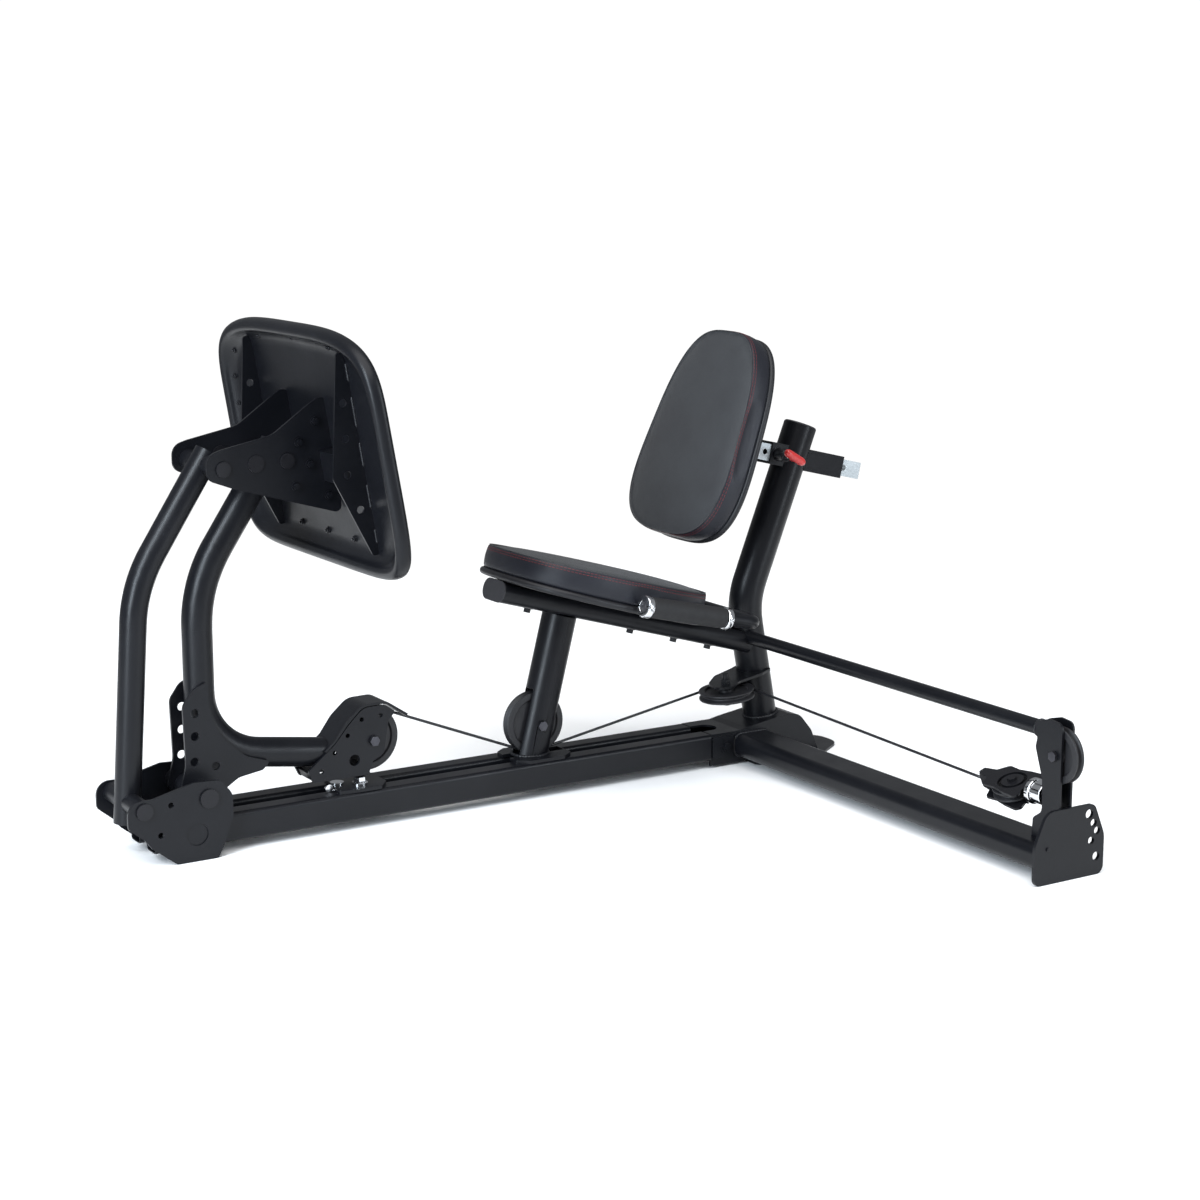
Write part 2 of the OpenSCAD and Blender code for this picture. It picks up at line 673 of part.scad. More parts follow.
// Points on a circle of radius r about c in the XZ plane
function xz_arc(c, r, a0, a1, n, y = 0) =
    [for (i = [0 : n]) let (a = a0 + (a1 - a0) * i / n) [c[0] + r * cos(a), y, c[1] + r * sin(a)]];

seat_in = cable_d / 2 - 2;                          // how the cable sits in a groove
run_r = pulley_r - groove + seat_in;                // the cable's centre line on a large pulley
tail_c = [tail_x, tail_z];
post_c = [post_x, post_z];
gap_tp = norm(post_c - tail_c);
tangent_a = atan2(post_c[1] - tail_c[1], post_c[0] - tail_c[0]) - asin(2 * run_r / gap_tp);
climb_a = 10;                                       // rise from the seat post to the mast pulley
mast_run_r = mast_pulley_r - groove + seat_in;

module cable_tail() {
    color(black) swept(concat(
        [[-898, 0, rail_top + 8.8]],
        xz_arc(tail_c, run_r, 188, tangent_a + 90, 12),
        xz_arc(post_c, run_r, tangent_a - 90, -90, 2)), cable_d / 2);
}

// A point on the cable's centre line round the swivel pulley
function on_swivel(a) =
    let (x = mast_run_r * cos(a))
    [mast_pulley_x + x * cos(mast_pulley_lean), mast_pulley_y + mast_run_r * sin(a),
     mast_pulley_z + x * sin(mast_pulley_lean)];

module cable_main() {
    joint_gap = 0.4;
    color(black) swept(concat(
        xz_arc(post_c, run_r, -90 + joint_gap, -90 + climb_a, 2),
        [for (i = [0 : 8]) on_swivel(90 - 90 * i / 8)],
        [[upright_x, block_y + 75.4, block_z - 3]]), cable_d / 2);
}

// ---- Press arm ----

arm_path = [[-996, 669.5], [-1145, 446], [-1145, 163], [-925, 132]];

module arm_solid(grow, hole_r = 0) { xz_bar(arm_path, [240, 118], arm_d / 2 + grow, hole_r); }

module arm_tube() {
    color(paint) difference() {
        arm_solid(0, arm_d / 2 - tube_wall);
        y_rod(arm_top_x, arm_top_z, -80, 80, sleeve_r);
    }
}

module arm_gussets() {
    outline = rounded([
        [-1196, 104, 18], [-1170, 74, 24], [-1136, 80, 20], [-1120, 100, 12], [-1092, 118, 24],
        [-1048, 125, 4], [-1034, 138, 4], [-1078, 153, 40], [-1119, 190, 60], [-1140, 232, 60],
        [-1142, 289, 5], [-1168, 278, 22], [-1187, 252, 24], [-1184, 150, 60]]);
    color(paint) difference() {
        for (y = [-arm_d / 2 - side_gap - 5, arm_d / 2 + side_gap]) side_plate(y, 5) polygon(outline);
        for (p = [[-1166, 238], [-1167, 199], [-1169, 156]]) y_rod(p[0], p[1], -40, 40, 7.5);
        y_rod(-1132, 144, -40, 40, 7);
        y_rod(arm_pivot_x, arm_pivot_z, -40, 40, 20);
    }
}

module arm_sleeves() {
    color(paint) difference() {
        union() {
            y_rod(arm_pivot_x, arm_pivot_z, -sleeve_y, sleeve_y, 20);
            y_rod(arm_top_x, arm_top_z, -sleeve_y, sleeve_y, sleeve_r);
        }
        y_rod(arm_pivot_x, arm_pivot_z, -80, 80, shaft_r + run_gap);
        y_rod(arm_top_x, arm_top_z, -80, 80, shaft_r + run_gap);
    }
}

tail_outline = rounded([
    [-956, 88, 4], [-966, 108, 8], [-914, 150, 0], [-888, 180, 30], [-860, 207, 30], [-818, 208, 24],
    [-798, 193, 4], [-812, 180, 8], [-822, 120, 16], [-842, 112, 8], [-852, 88, 4]]);

module tail_housing() {
    color(paint) difference() {
        union() {
            for (y = [-arm_d / 2 - side_gap - 5, arm_d / 2 + side_gap])
                side_plate(y, 5) polygon(tail_outline);
            // the web that closes the front end
            side_plate(-arm_d / 2 - 1, arm_d + 2)
                polygon([[-955, 90], [-960, 102], [-955, 104], [-948, 90]]);
        }
        for (p = [[-863, 187], [-827, 190], [-890, 162], [-915, 135], [-940, 106]])
            y_rod(p[0], p[1], -40, 40, 4);
        y_rod(-878, 117, -40, 40, 10);
        y_rod(tail_x, tail_z, -40, 40, 6);
    }
}

module tail_cover() {
    strip = rounded([
        [-934, 140, 0], [-915, 156, 0], [-893, 186, 34], [-862, 213, 33.5], [-816, 214, 27.5],
        [-774, 186, 0], [-777, 182, 0], [-816.5, 209.5, 24], [-860.5, 208.7, 30],
        [-889.5, 181, 30], [-913.5, 152.4, 0], [-930.5, 137.6, 0]]);
    color(paint) difference() {
        side_plate(-arm_d / 2 - side_gap - 5, arm_d + 2 * side_gap + 10) polygon(strip);
        arm_solid(side_gap);
    }
}

module tail_axle() {
    color(chrome) {
        y_rod(tail_x, tail_z, -arm_d / 2 - 6, arm_d / 2 + 6, 6);
        for (y = [-arm_d / 2 - 12, arm_d / 2 + 6])
            translate([tail_x, y, tail_z]) rotate([-90, 0, 0]) cylinder(h = 6, r = 9.5, $fn = 6);
    }
}

module tail_pulley() {
    color(black) translate([tail_x, 0, tail_z]) rotate([90, 0, 0]) pulley(pulley_r, pulley_w, 6 + run_gap);
}

// ---- Front link ----

link_path = [[link_pivot_x - 2.5, 62], [-1250, 454], [link_top_x + 6, link_top_z + 20]];

module front_link() {
    color(paint) difference() {
        union() {
            xz_bar(link_path, [240], link_d / 2, link_d / 2 - tube_wall);
            y_rod(link_pivot_x, link_pivot_z, -sleeve_y, sleeve_y, sleeve_r);
            y_rod(link_top_x, link_top_z, -sleeve_y, sleeve_y, sleeve_r);
        }
        y_rod(link_pivot_x, link_pivot_z, -80, 80, shaft_r + run_gap);
        y_rod(link_top_x, link_top_z, -80, 80, shaft_r + run_gap);
    }
}

// ---- Foot carriage ----

// Puts children in the foot plate's frame: x toward the user, z up the plate
module on_foot() { translate([foot_mid[0], 0, foot_mid[1]]) rotate([0, -foot_tilt, 0]) children(); }

pan_back = 5;                               // back of the foot plate's pan in its own frame
pan_t = 3;
rim_depth = 16;                             // how far the rim stands behind the plate's middle
foot_bolts = [                              // across and up the plate
    [-136, 172], [0, 178], [136, 172], [-102, -154], [0, -154], [102, -154],
    [-254, 137], [-274, 89], [-278, 40], [254, 137], [274, 89], [278, 40]];
carriage_bolts = [[-988, 679], [-995, 607], [-969, 642], [-959, 712], [-936, 588]];

module carriage_plates() {
    outline = rounded([
        [-1149, 668, 22], [-1149, 628, 18], [-1104, 611, 30], [-913, 556, 10], [-914, 600, 0],
        [-930, 612, 0], [-937, 664, 0], [-928, 668, 0], [-934, 738, 6], [-944, 756, 14],
        [-972, 738, 30], [-1034, 694, 50], [-1122, 676, 24]]);
    color(paint) difference() {
        union() {
            for (y = [-bracket_y - plate_t, bracket_y]) side_plate(y, plate_t) polygon(outline);
            for (s = [-1, 1]) side_bolts(carriage_bolts, s * (bracket_y + plate_t), s, 5.5);
        }
        y_rod(arm_top_x, arm_top_z, -90, 90, shaft_r);
        y_rod(link_top_x, link_top_z, -90, 90, shaft_r);
        y_rod(-1064, 649, -90, 90, 14);
        // cut back to the box tube and to the pan
        carriage_tube(0);
        on_foot() translate([pan_back, -100, -250]) cube([60, 200, 500]);
    }
}

// The box tube between the ribs, that the carriage plates carry
module carriage_tube(hole) {
    length = 2 * rib_y - 4;
    on_foot() translate([-19, -length / 2, -52]) difference() {
        cube([24, length, 50]);
        if (hole > 0) translate([hole, -5, hole]) cube([24 - 2 * hole, length + 10, 50 - 2 * hole]);
    }
}

module carriage_shafts() {
    color(black) {
        for (p = [[arm_top_x, arm_top_z], [link_top_x, link_top_z]]) {
            y_rod(p[0], p[1], -bracket_y - plate_t, bracket_y + plate_t, shaft_r);
            for (y = [-bracket_y - plate_t - 3, bracket_y + plate_t]) y_rod(p[0], p[1], y, y + 3, 12.5);
        }
        for (s = [-1, 1]) y_rod(-1064, 649, s > 0 ? bracket_y - 2 : -bracket_y - plate_t - 2,
            s > 0 ? bracket_y + plate_t + 2 : -bracket_y + 2, 14);
    }
}

module foot_ribs() {
    rib = rounded([
        [pan_back, 168, 2], [-9, 168, 6], [-52, -28, 14], [-6, -168, 6], [pan_back, -168, 2]]);
    color(paint) {
        for (s = [-1, 1]) on_foot() difference() {
            side_plate(s * rib_y - 2, 4) polygon(rib);
            for (p = [[-12, 88], [-18, 31], [-26, -27], [-14, -88]])
                y_rod(p[0], p[1], -rib_y - 20, rib_y + 20, 6.5);
        }
        carriage_tube(3);
    }
}

foot_widest = 54.5;                         // height of the plate's widest line above its middle

// The plate's outline moved in by a distance, y across and z up
function foot_outline(inset) =
    let (top = foot_h / 2 - foot_widest - inset, bottom = foot_h / 2 + foot_widest - inset)
    [for (p = shield(foot_w / 2 - inset, 0.022, top, bottom, 3.67, 7.4)) p + [0, foot_widest]];

module foot_plate() {
    wall = 3;
    lip_t = 4;
    lip_w = 16;
    color(paint) on_foot() {
        difference() {
            cross_plate(-rim_depth, rim_depth + pan_back + pan_t) polygon(foot_outline(0));
            cross_plate(-rim_depth - 5, rim_depth + 5 + pan_back) polygon(foot_outline(lip_w));
            // the hollow between the lip and the pan
            cross_plate(-rim_depth + lip_t, rim_depth - lip_t + pan_back) polygon(foot_outline(wall));
        }
        for (p = foot_bolts) translate([pan_back, p[0], p[1]]) rotate([0, -90, 0]) bolt_head(5, 4);
    }
}

module foot_tread() {
    color(black) on_foot() cross_plate(pan_back + pan_t, 5) polygon(foot_outline(27));
}

// ---- Backrest ----

// Puts children on the backrest slide: x down its slope to the rear
module receiver_frame() { translate([slide_at[0], 0, slide_at[1]]) rotate([0, slide_slope, 0]) children(); }
slide_front = -194;                         // ends of the slide tube, from the same point
slide_back = 124;
pin_x = -80;                                // the pull pin's place along the receiver
slide_pitch = 27.3;                         // between the holes of the slide
handle_turn = 17;                           // turn of the red handle, down toward the rear

module backrest_receiver() {
    color(paint) receiver_frame() difference() {
        union() {
            translate([-96, -20, -21]) cube([174, 40, 42]);
            translate([pin_x, -20, 0]) rotate([90, 0, 0]) cylinder(h = 26, r = 12);
        }
        translate([-100, -16.1, -16.1]) cube([190, 32.2, 32.2]);
        translate([pin_x, -10, 0]) rotate([90, 0, 0]) cylinder(h = 50, r = 5 + run_gap);
    }
}

module pull_pin() {
    color(chrome) receiver_frame() translate([pin_x, 0, 0]) rotate([90, 0, 0])
        translate([0, 0, 16.4]) cylinder(h = 50, r = 5);
}

module pull_handle() {
    color(red) receiver_frame() translate([pin_x, -66.4, 0]) rotate([90, 0, 0]) {
        rotate([0, 0, -handle_turn]) linear_extrude(14) polygon(round_rect(52, 16, 7.8, 8));
    }
}

module slide_tube() {
    color(chrome) receiver_frame() difference() {
        union() {
            translate([slide_front, -16, -16]) cube([slide_back - slide_front, 32, 32]);
            // the bolted foot that carries the back board
            translate([slide_front - 6, -34, -30]) cube([6, 68, 60]);
        }
        translate([slide_front + 3, -13, -13]) cube([slide_back - slide_front, 26, 26]);
        for (k = [-3 : 6]) translate([pin_x + k * slide_pitch, -30, 0]) rotate([-90, 0, 0])
            cylinder(h = 60, r = 5.2);
    }
}

// Puts children on the back pad's front face, y of the outline up the pad, z toward the rear
module on_back() {
    translate([back_mid[0], 0, back_mid[1]]) rotate([0, back_recline, 0]) rotate([90, 0, 90]) children();
}

module back_board() {
    color(black) {
        on_back() translate([0, 0, back_pad_t])
            linear_extrude(back_board_t) polygon(egg(back_w / 2 + 2, -0.109, back_h + 4, 3.1));
        // the wedge block between the board and the slide's foot
        difference() {
            on_back() translate([-34, -45, back_pad_t + back_board_t]) cube([68, 82, 40]);
            receiver_frame() translate([slide_front - 6, -60, -120]) cube([200, 120, 240]);
        }
    }
}

module back_pad() {
    color(vinyl) on_back() linear_extrude(back_pad_t) polygon(egg(back_w / 2, -0.109, back_h, 3.1));
}

rail_near();
rail_far();
front_cross_member();
front_cross_tube();
front_bracket_near();
front_bracket_far();
arm_shaft();
link_shaft();
rear_channel();
rear_floor_plate();
rear_clamp();
stop_plate();
stop_bolt();
cable_anchor();
post_base_plate();
seat_post();
post_pulley();
post_axle();
seat_tube();
seat_tube_cap();
seat_bolts();
seat_board();
seat_pad();
handle_bar();
grips();
grip_collars();
mast();
mast_cap();
mast_pulley_bracket();
mast_pulley();
side_arm();
end_plate();
upright_plates();
end_pulley();
end_axle();
brace_tube();
cable_block();
block_pulley();
block_spool();
cable_main();
cable_tail();
arm_tube();
arm_gussets();
arm_sleeves();
tail_housing();
tail_cover();
tail_axle();
tail_pulley();
front_link();
carriage_plates();
carriage_shafts();
foot_ribs();
foot_plate();
foot_tread();
backrest_receiver();
pull_pin();
pull_handle();
slide_tube();
back_board();
back_pad();
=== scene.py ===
import json
import math

import bpy
from mathutils import Matrix, Vector
from mathutils.bvhtree import BVHTree


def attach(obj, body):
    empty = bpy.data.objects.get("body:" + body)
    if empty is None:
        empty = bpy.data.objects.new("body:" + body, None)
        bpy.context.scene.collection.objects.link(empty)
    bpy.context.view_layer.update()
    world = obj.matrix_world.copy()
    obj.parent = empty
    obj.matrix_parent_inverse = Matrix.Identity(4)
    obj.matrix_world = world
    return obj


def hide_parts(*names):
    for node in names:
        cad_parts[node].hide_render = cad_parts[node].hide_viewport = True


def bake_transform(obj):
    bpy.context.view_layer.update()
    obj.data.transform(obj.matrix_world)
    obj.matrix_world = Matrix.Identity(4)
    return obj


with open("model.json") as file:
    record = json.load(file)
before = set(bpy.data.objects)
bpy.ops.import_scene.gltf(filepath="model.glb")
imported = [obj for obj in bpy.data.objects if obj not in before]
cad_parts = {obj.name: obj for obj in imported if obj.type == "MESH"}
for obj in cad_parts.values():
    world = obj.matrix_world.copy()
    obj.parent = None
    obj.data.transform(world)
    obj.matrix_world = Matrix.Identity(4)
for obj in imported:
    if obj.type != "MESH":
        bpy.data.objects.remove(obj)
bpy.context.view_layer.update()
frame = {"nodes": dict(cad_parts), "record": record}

NODES = frame["nodes"]
MM = 0.001

# Driving dimensions, repeated from the CAD source in metres and degrees
SEAT_TILT = 16.5
SEAT_MIDDLE = Vector((-0.376, 0, 0.338))
SEAT_WIDTH = 0.310
SEAT_LENGTH = 0.420
SEAT_SQUARE = 2.4
SEAT_TAPER = 0.1
BACK_RECLINE = 22.2
BACK_MIDDLE = Vector((-0.164, 0, 0.637))
BACK_WIDTH = 0.284
BACK_HEIGHT = 0.392
BACK_SQUARE = 3.1
BACK_TAPER = -0.109
BOARD_T = 0.014
BACK_BOARD_T = 0.012
SEAT_PAD_T = 0.050
BACK_PAD_T = 0.048
FOOT_TILT = 9.7
FOOT_MIDDLE = Vector((-0.933, 0, 0.667))
FOOT_WIDTH = 0.613
FOOT_HEIGHT = 0.412
FOOT_WIDEST = 0.0545
FOOT_TAPER = 0.022
RIB_Y = 0.183
PAN_BACK = 0.005
PAN_T = 0.003
SLIDE_TILT = 13.5
SLIDE_POINT = Vector((0.097, 0, 0.562))
PIN_X = -0.080
HANDLE_Y = -0.0734
HANDLE_TURN = 17
HANDLE_FRONT = Vector((-0.389, 0, 0.361))
HANDLE_BACK = Vector((-0.143, 0, 0.3035))
GRIP_Y = 0.185
BAR_R = 0.0127
CABLE_R = 0.0025
PULLEY_RUN_R = 0.054
TAIL_WHEEL = Vector((-0.841, 0, 0.147))
POST_WHEEL = Vector((-0.5055, 0, 0.128))
MAST_WHEEL = Vector((-0.114, -0.050, 0.142))
MAST_WHEEL_LEAN = 5.8
MAST_RUN_R = 0.049
UPRIGHT_X = -0.049
BLOCK_Y = -0.777
BLOCK_Z = 0.125
CABLE_ANCHOR = Vector((-0.898, 0, 0.0805))
CABLE_CLIMB = 10
CABLE_CLAMP = Vector((UPRIGHT_X, BLOCK_Y + 0.0753, BLOCK_Z - 0.003))
MAST_FOOT = Vector((3.9, 0, 55))
MAST_BEND = Vector((-43.2, 0, 302.2))

# Places on the foot plate in millimetres: nuts as (across, up), weld runs as (low, high)
MIDDLE_NUTS = [(-136, 172), (0, 178), (136, 172), (-102, -154), (0, -154), (102, -154)]
EDGE_NUTS = [(254, 137), (274, 89), (278, 40)]
EDGE_NUT_BACK = 0.0035
RIB_WELDS = [(-150, -125), (-90, -50), (-20, 20), (45, 95), (120, 150)]

# Sewing: depth of each thread row below the seam, then the stitch itself
STITCH_ROWS = (0.0036, 0.0088)
STITCH_LENGTH = 0.0050
STITCH_GAP = 0.0019
THREAD_R = 0.0006
FACE_RINGS = 18

# Studio
FLOOR_MIDDLE = (-0.5, -0.4)
FLOOR_R = 2.6
CAMERA_AZIMUTH = -31.9
CAMERA_ELEVATION = 11.33
CAMERA_AT = (-2.5649, -3.538, 1.173)
CAMERA_SENSOR = 36
CAMERA_LENS = 69.9


# ---- Materials ----


class Shader:
    """A Principled material with a few node helpers."""

    def __init__(self, name, color, roughness, metallic=0.0, coat=0.0, specular=0.5):
        self.material = bpy.data.materials.new(name)
        self.material.use_nodes = True
        self.tree = self.material.node_tree
        self.bsdf = self.tree.nodes["Principled BSDF"]
        self.bsdf.inputs["Base Color"].default_value = (*color, 1)
        self.bsdf.inputs["Roughness"].default_value = roughness
        self.bsdf.inputs["Metallic"].default_value = metallic
        self.bsdf.inputs["Coat Weight"].default_value = coat
        self.bsdf.inputs["Coat Roughness"].default_value = 0.25
        self.bsdf.inputs["Specular IOR Level"].default_value = specular
        self.color = color
        self.roughness = roughness
        self.place = self.tree.nodes.new("ShaderNodeTexCoord").outputs["Object"]
        self.height = None

    def noise(self, scale, detail=3.0, roughness=0.55, stretch=None):
        """A noise pattern, in repeats per metre."""
        node = self.tree.nodes.new("ShaderNodeTexNoise")
        node.inputs["Scale"].default_value = scale
        node.inputs["Detail"].default_value = detail
        node.inputs["Roughness"].default_value = roughness
        source = self.place
        if stretch:
            mapping = self.tree.nodes.new("ShaderNodeMapping")
            mapping.inputs["Scale"].default_value = stretch
            self.tree.links.new(source, mapping.inputs["Vector"])
            source = mapping.outputs["Vector"]
        self.tree.links.new(source, node.inputs["Vector"])
        return node.outputs["Fac"]

    def cells(self, scale):
        """A cell pattern, in repeats per metre."""
        node = self.tree.nodes.new("ShaderNodeTexVoronoi")
        node.feature = "DISTANCE_TO_EDGE"
        node.inputs["Scale"].default_value = scale
        self.tree.links.new(self.place, node.inputs["Vector"])
        return node.outputs["Distance"]

    def mapped(self, value, low, high, from_low=0.0, from_high=1.0):
        """value moved from one range to another."""
        node = self.tree.nodes.new("ShaderNodeMapRange")
        node.inputs["From Min"].default_value = from_low
        node.inputs["From Max"].default_value = from_high
        node.inputs["To Min"].default_value = low
        node.inputs["To Max"].default_value = high
        self.tree.links.new(value, node.inputs["Value"])
        return node.outputs["Result"]

    def vary_roughness(self, pattern, spread):
        low, high = self.roughness - spread, self.roughness + spread
        self.tree.links.new(self.mapped(pattern, low, high, 0.3, 0.7), self.bsdf.inputs["Roughness"])
        return self

    def vary_color(self, pattern, other, from_low=0.35, from_high=0.65):
        """Mixes the base colour with another by a pattern."""
        mix = self.tree.nodes.new("ShaderNodeMix")
        mix.data_type = "RGBA"
        mix.inputs[6].default_value = (*self.color, 1)
        mix.inputs[7].default_value = (*other, 1)
        self.tree.links.new(self.mapped(pattern, 0, 1, from_low, from_high), mix.inputs[0])
        self.tree.links.new(mix.outputs[2], self.bsdf.inputs["Base Color"])
        return self

    def bump(self, pattern, depth, strength=1.0):
        """Adds a relief of that depth in metres on top of the ones before it."""
        node = self.tree.nodes.new("ShaderNodeBump")
        node.inputs["Strength"].default_value = strength
        node.inputs["Distance"].default_value = depth
        self.tree.links.new(pattern, node.inputs["Height"])
        if self.height is not None:
            self.tree.links.new(self.height, node.inputs["Normal"])
        self.height = node.outputs["Normal"]
        self.tree.links.new(self.height, self.bsdf.inputs["Normal"])
        return self


def powder_coat():
    s = Shader("powder_coat", (0.0042, 0.0046, 0.0062), 0.33, specular=0.22)
    s.vary_roughness(s.noise(14), 0.04)
    s.vary_color(s.noise(9), (0.0060, 0.0064, 0.0082))
    s.bump(s.noise(900, 2), 0.00009).bump(s.noise(90, 2), 0.00010)
    return s.material


def black_steel():
    s = Shader("black_steel", (0.009, 0.009, 0.011), 0.34, metallic=0.2, specular=0.3)
    s.vary_roughness(s.noise(60), 0.08)
    s.bump(s.noise(1200, 2), 0.00005)
    return s.material


def chrome():
    s = Shader("chrome", (0.72, 0.73, 0.75), 0.14, metallic=1.0)
    s.vary_roughness(s.noise(70), 0.05)
    s.bump(s.noise(500, 2), 0.00002)
    return s.material


def zinc_plate():
    s = Shader("zinc_plate", (0.52, 0.56, 0.58), 0.40, metallic=0.7)
    s.vary_roughness(s.noise(40, stretch=(1, 8, 8)), 0.08)
    s.vary_color(s.noise(25), (0.45, 0.49, 0.51))
    s.bump(s.noise(700, 2, stretch=(1, 6, 6)), 0.00004)
    return s.material


def zinc_steel():
    s = Shader("zinc_steel", (0.075, 0.075, 0.085), 0.38, metallic=0.9)
    s.vary_roughness(s.noise(120), 0.08)
    s.vary_color(s.noise(40), (0.050, 0.050, 0.058))
    s.bump(s.noise(900, 3), 0.00004)
    return s.material


def moulded_nylon():
    s = Shader("moulded_nylon", (0.011, 0.011, 0.013), 0.48, specular=0.4)
    s.vary_roughness(s.noise(40), 0.06)
    s.bump(s.noise(1500, 2), 0.00006)
    return s.material


def cap_plastic():
    s = Shader("cap_plastic", (0.022, 0.022, 0.026), 0.55, specular=0.4)
    s.vary_roughness(s.noise(50), 0.05)
    s.bump(s.noise(1100, 2), 0.00010)
    return s.material


def cable_coat():
    s = Shader("cable_coat", (0.012, 0.012, 0.014), 0.34, specular=0.35)
    s.vary_roughness(s.noise(200), 0.05)
    s.bump(s.noise(700, 2), 0.00008)
    return s.material


def grip_rubber():
    s = Shader("grip_rubber", (0.012, 0.012, 0.013), 0.62, specular=0.35)
    s.vary_roughness(s.noise(80), 0.06)
    s.bump(s.cells(900), 0.00012).bump(s.noise(2500, 2), 0.00008)
    return s.material


def tread_rubber():
    s = Shader("tread_rubber", (0.012, 0.012, 0.013), 0.70, specular=0.3)
    s.vary_roughness(s.noise(30), 0.08)
    s.bump(s.noise(1300, 3), 0.00015)
    return s.material


def pad_board():
    s = Shader("pad_board", (0.009, 0.009, 0.011), 0.46, specular=0.35)
    s.vary_roughness(s.noise(30), 0.06)
    s.bump(s.cells(1100), 0.00008).bump(s.noise(80, 2), 0.0003)
    return s.material


def vinyl():
    s = Shader("vinyl", (0.029, 0.030, 0.033), 0.50, specular=0.34)
    s.bsdf.inputs["Sheen Weight"].default_value = 0.10
    s.bsdf.inputs["Sheen Roughness"].default_value = 0.4
    s.vary_roughness(s.noise(22), 0.05)
    s.vary_color(s.noise(12), (0.034, 0.036, 0.039))
    s.bump(s.cells(750), 0.00022).bump(s.noise(2200, 3), 0.00010).bump(s.noise(45, 2), 0.0006, 0.5)
    return s.material


# A darker, bluer copy of the face vinyl for the pads' side bands: painted shade, as the band is the same
# vinyl as the face
def side_vinyl_painted_shade():
    s = Shader("side_vinyl_painted_shade", (0.010, 0.011, 0.016), 0.42, specular=0.34)
    s.vary_roughness(s.noise(22), 0.05)
    s.bump(s.cells(750), 0.00018).bump(s.noise(2200, 3), 0.00008)
    return s.material


def red_thread():
    s = Shader("red_thread", (0.17, 0.009, 0.014), 0.6)
    s.vary_color(s.noise(300), (0.11, 0.006, 0.010))
    s.bump(s.noise(3000, 2), 0.0002)
    return s.material


def red_dip():
    s = Shader("red_dip", (0.55, 0.03, 0.03), 0.32, coat=0.3)
    s.vary_roughness(s.noise(60), 0.06)
    s.vary_color(s.noise(40), (0.48, 0.024, 0.022))
    s.bump(s.noise(400, 2), 0.00010)
    return s.material


def weld_metal():
    s = Shader("weld_metal", (0.0088, 0.0092, 0.0112), 0.36, specular=0.30)
    s.bump(s.noise(900, 2), 0.0001)
    return s.material


def floor_paint():
    s = Shader("floor_paint", (0.95, 0.95, 0.95), 0.65, specular=0.1)
    s.vary_roughness(s.noise(3), 0.04)
    return s.material


MATERIALS = {
    "black_powder_coat": powder_coat(),
    "black_steel": black_steel(),
    "chrome": chrome(),
    "zinc_plate": zinc_plate(),
    "zinc_steel": zinc_steel(),
    "nylon_black": moulded_nylon(),
    "cap_plastic": cap_plastic(),
    "cable_coat": cable_coat(),
    "grip_rubber": grip_rubber(),
    "tread_rubber": tread_rubber(),
    "pad_board": pad_board(),
    "vinyl": vinyl(),
    "red_plastic": red_dip(),
}
# The darker side-band vinyl paints shade on the pads' sides
SIDE_VINYL_PAINTED_SHADE = side_vinyl_painted_shade()
THREAD = red_thread()
WELD = weld_metal()


# ---- Mesh helpers ----


def piece(name, verts, faces, slot, body, material=None):
    """A mesh object that rides on a body and wears a slot's material."""
    mesh = bpy.data.meshes.new(name)
    mesh.from_pydata([tuple(v) for v in verts], [], faces)
    mesh.validate()
    mesh.update()
    obj = bpy.data.objects.new(name, mesh)
    bpy.context.scene.collection.objects.link(obj)
    mesh.materials.append(material or MATERIALS[slot])
    for p in mesh.polygons:
        p.use_smooth = True
    if body:
        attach(obj, body)
    return obj


def ring_faces(rings, count):
    """Quads between closed rings of count points each."""
    faces = []
    for i in range(rings - 1):
        for k in range(count):
            a, b = i * count + k, i * count + (k + 1) % count
            faces.append((a, b, b + count, a + count))
    return faces


def lathe(profile, place, steps=40, ring=False):
    """Turns (radius, height) points about the local Z axis of a matrix.

    Both ends are capped, or joined to each other where ring is set."""
    verts = []
    for r, z in profile:
        for k in range(steps):
            a = 2 * math.pi * k / steps
            verts.append(place @ Vector((r * math.cos(a), r * math.sin(a), z)))
    faces = ring_faces(len(profile), steps)
    last = (len(profile) - 1) * steps
    if ring:
        faces += [(last + k, last + (k + 1) % steps, (k + 1) % steps, k) for k in range(steps)]
    else:
        faces += [tuple(reversed(range(steps))), tuple(range(last, last + steps))]
    return verts, faces


def tube(path, radius, sides=10, closed=False):
    """A round tube along a path. radius is a number or a function of the ring's index."""
    verts = []
    count = len(path)
    for i, p in enumerate(path):
        if closed:
            t = (path[(i + 1) % count] - path[i - 1]).normalized()
        else:
            t = (path[min(i + 1, count - 1)] - path[max(i - 1, 0)]).normalized()
        side = t.cross(Vector((0, 0, 1)) if abs(t.z) < 0.9 else Vector((0, 1, 0))).normalized()
        up = side.cross(t)
        r = radius(i) if callable(radius) else radius
        for k in range(sides):
            a = 2 * math.pi * k / sides
            verts.append(p + side * (r * math.cos(a)) + up * (r * math.sin(a)))
    faces = ring_faces(count, sides)
    if closed:
        last = (count - 1) * sides
        for k in range(sides):
            n = (k + 1) % sides
            faces.append((last + k, last + n, n, k))
    else:
        faces.append(tuple(reversed(range(sides))))
        faces.append(tuple(range((count - 1) * sides, count * sides)))
    return verts, faces


def joined(parts):
    """Several (verts, faces) as one."""
    verts, faces = [], []
    for v, f in parts:
        base = len(verts)
        verts += v
        faces += [tuple(base + i for i in face) for face in f]
    return verts, faces


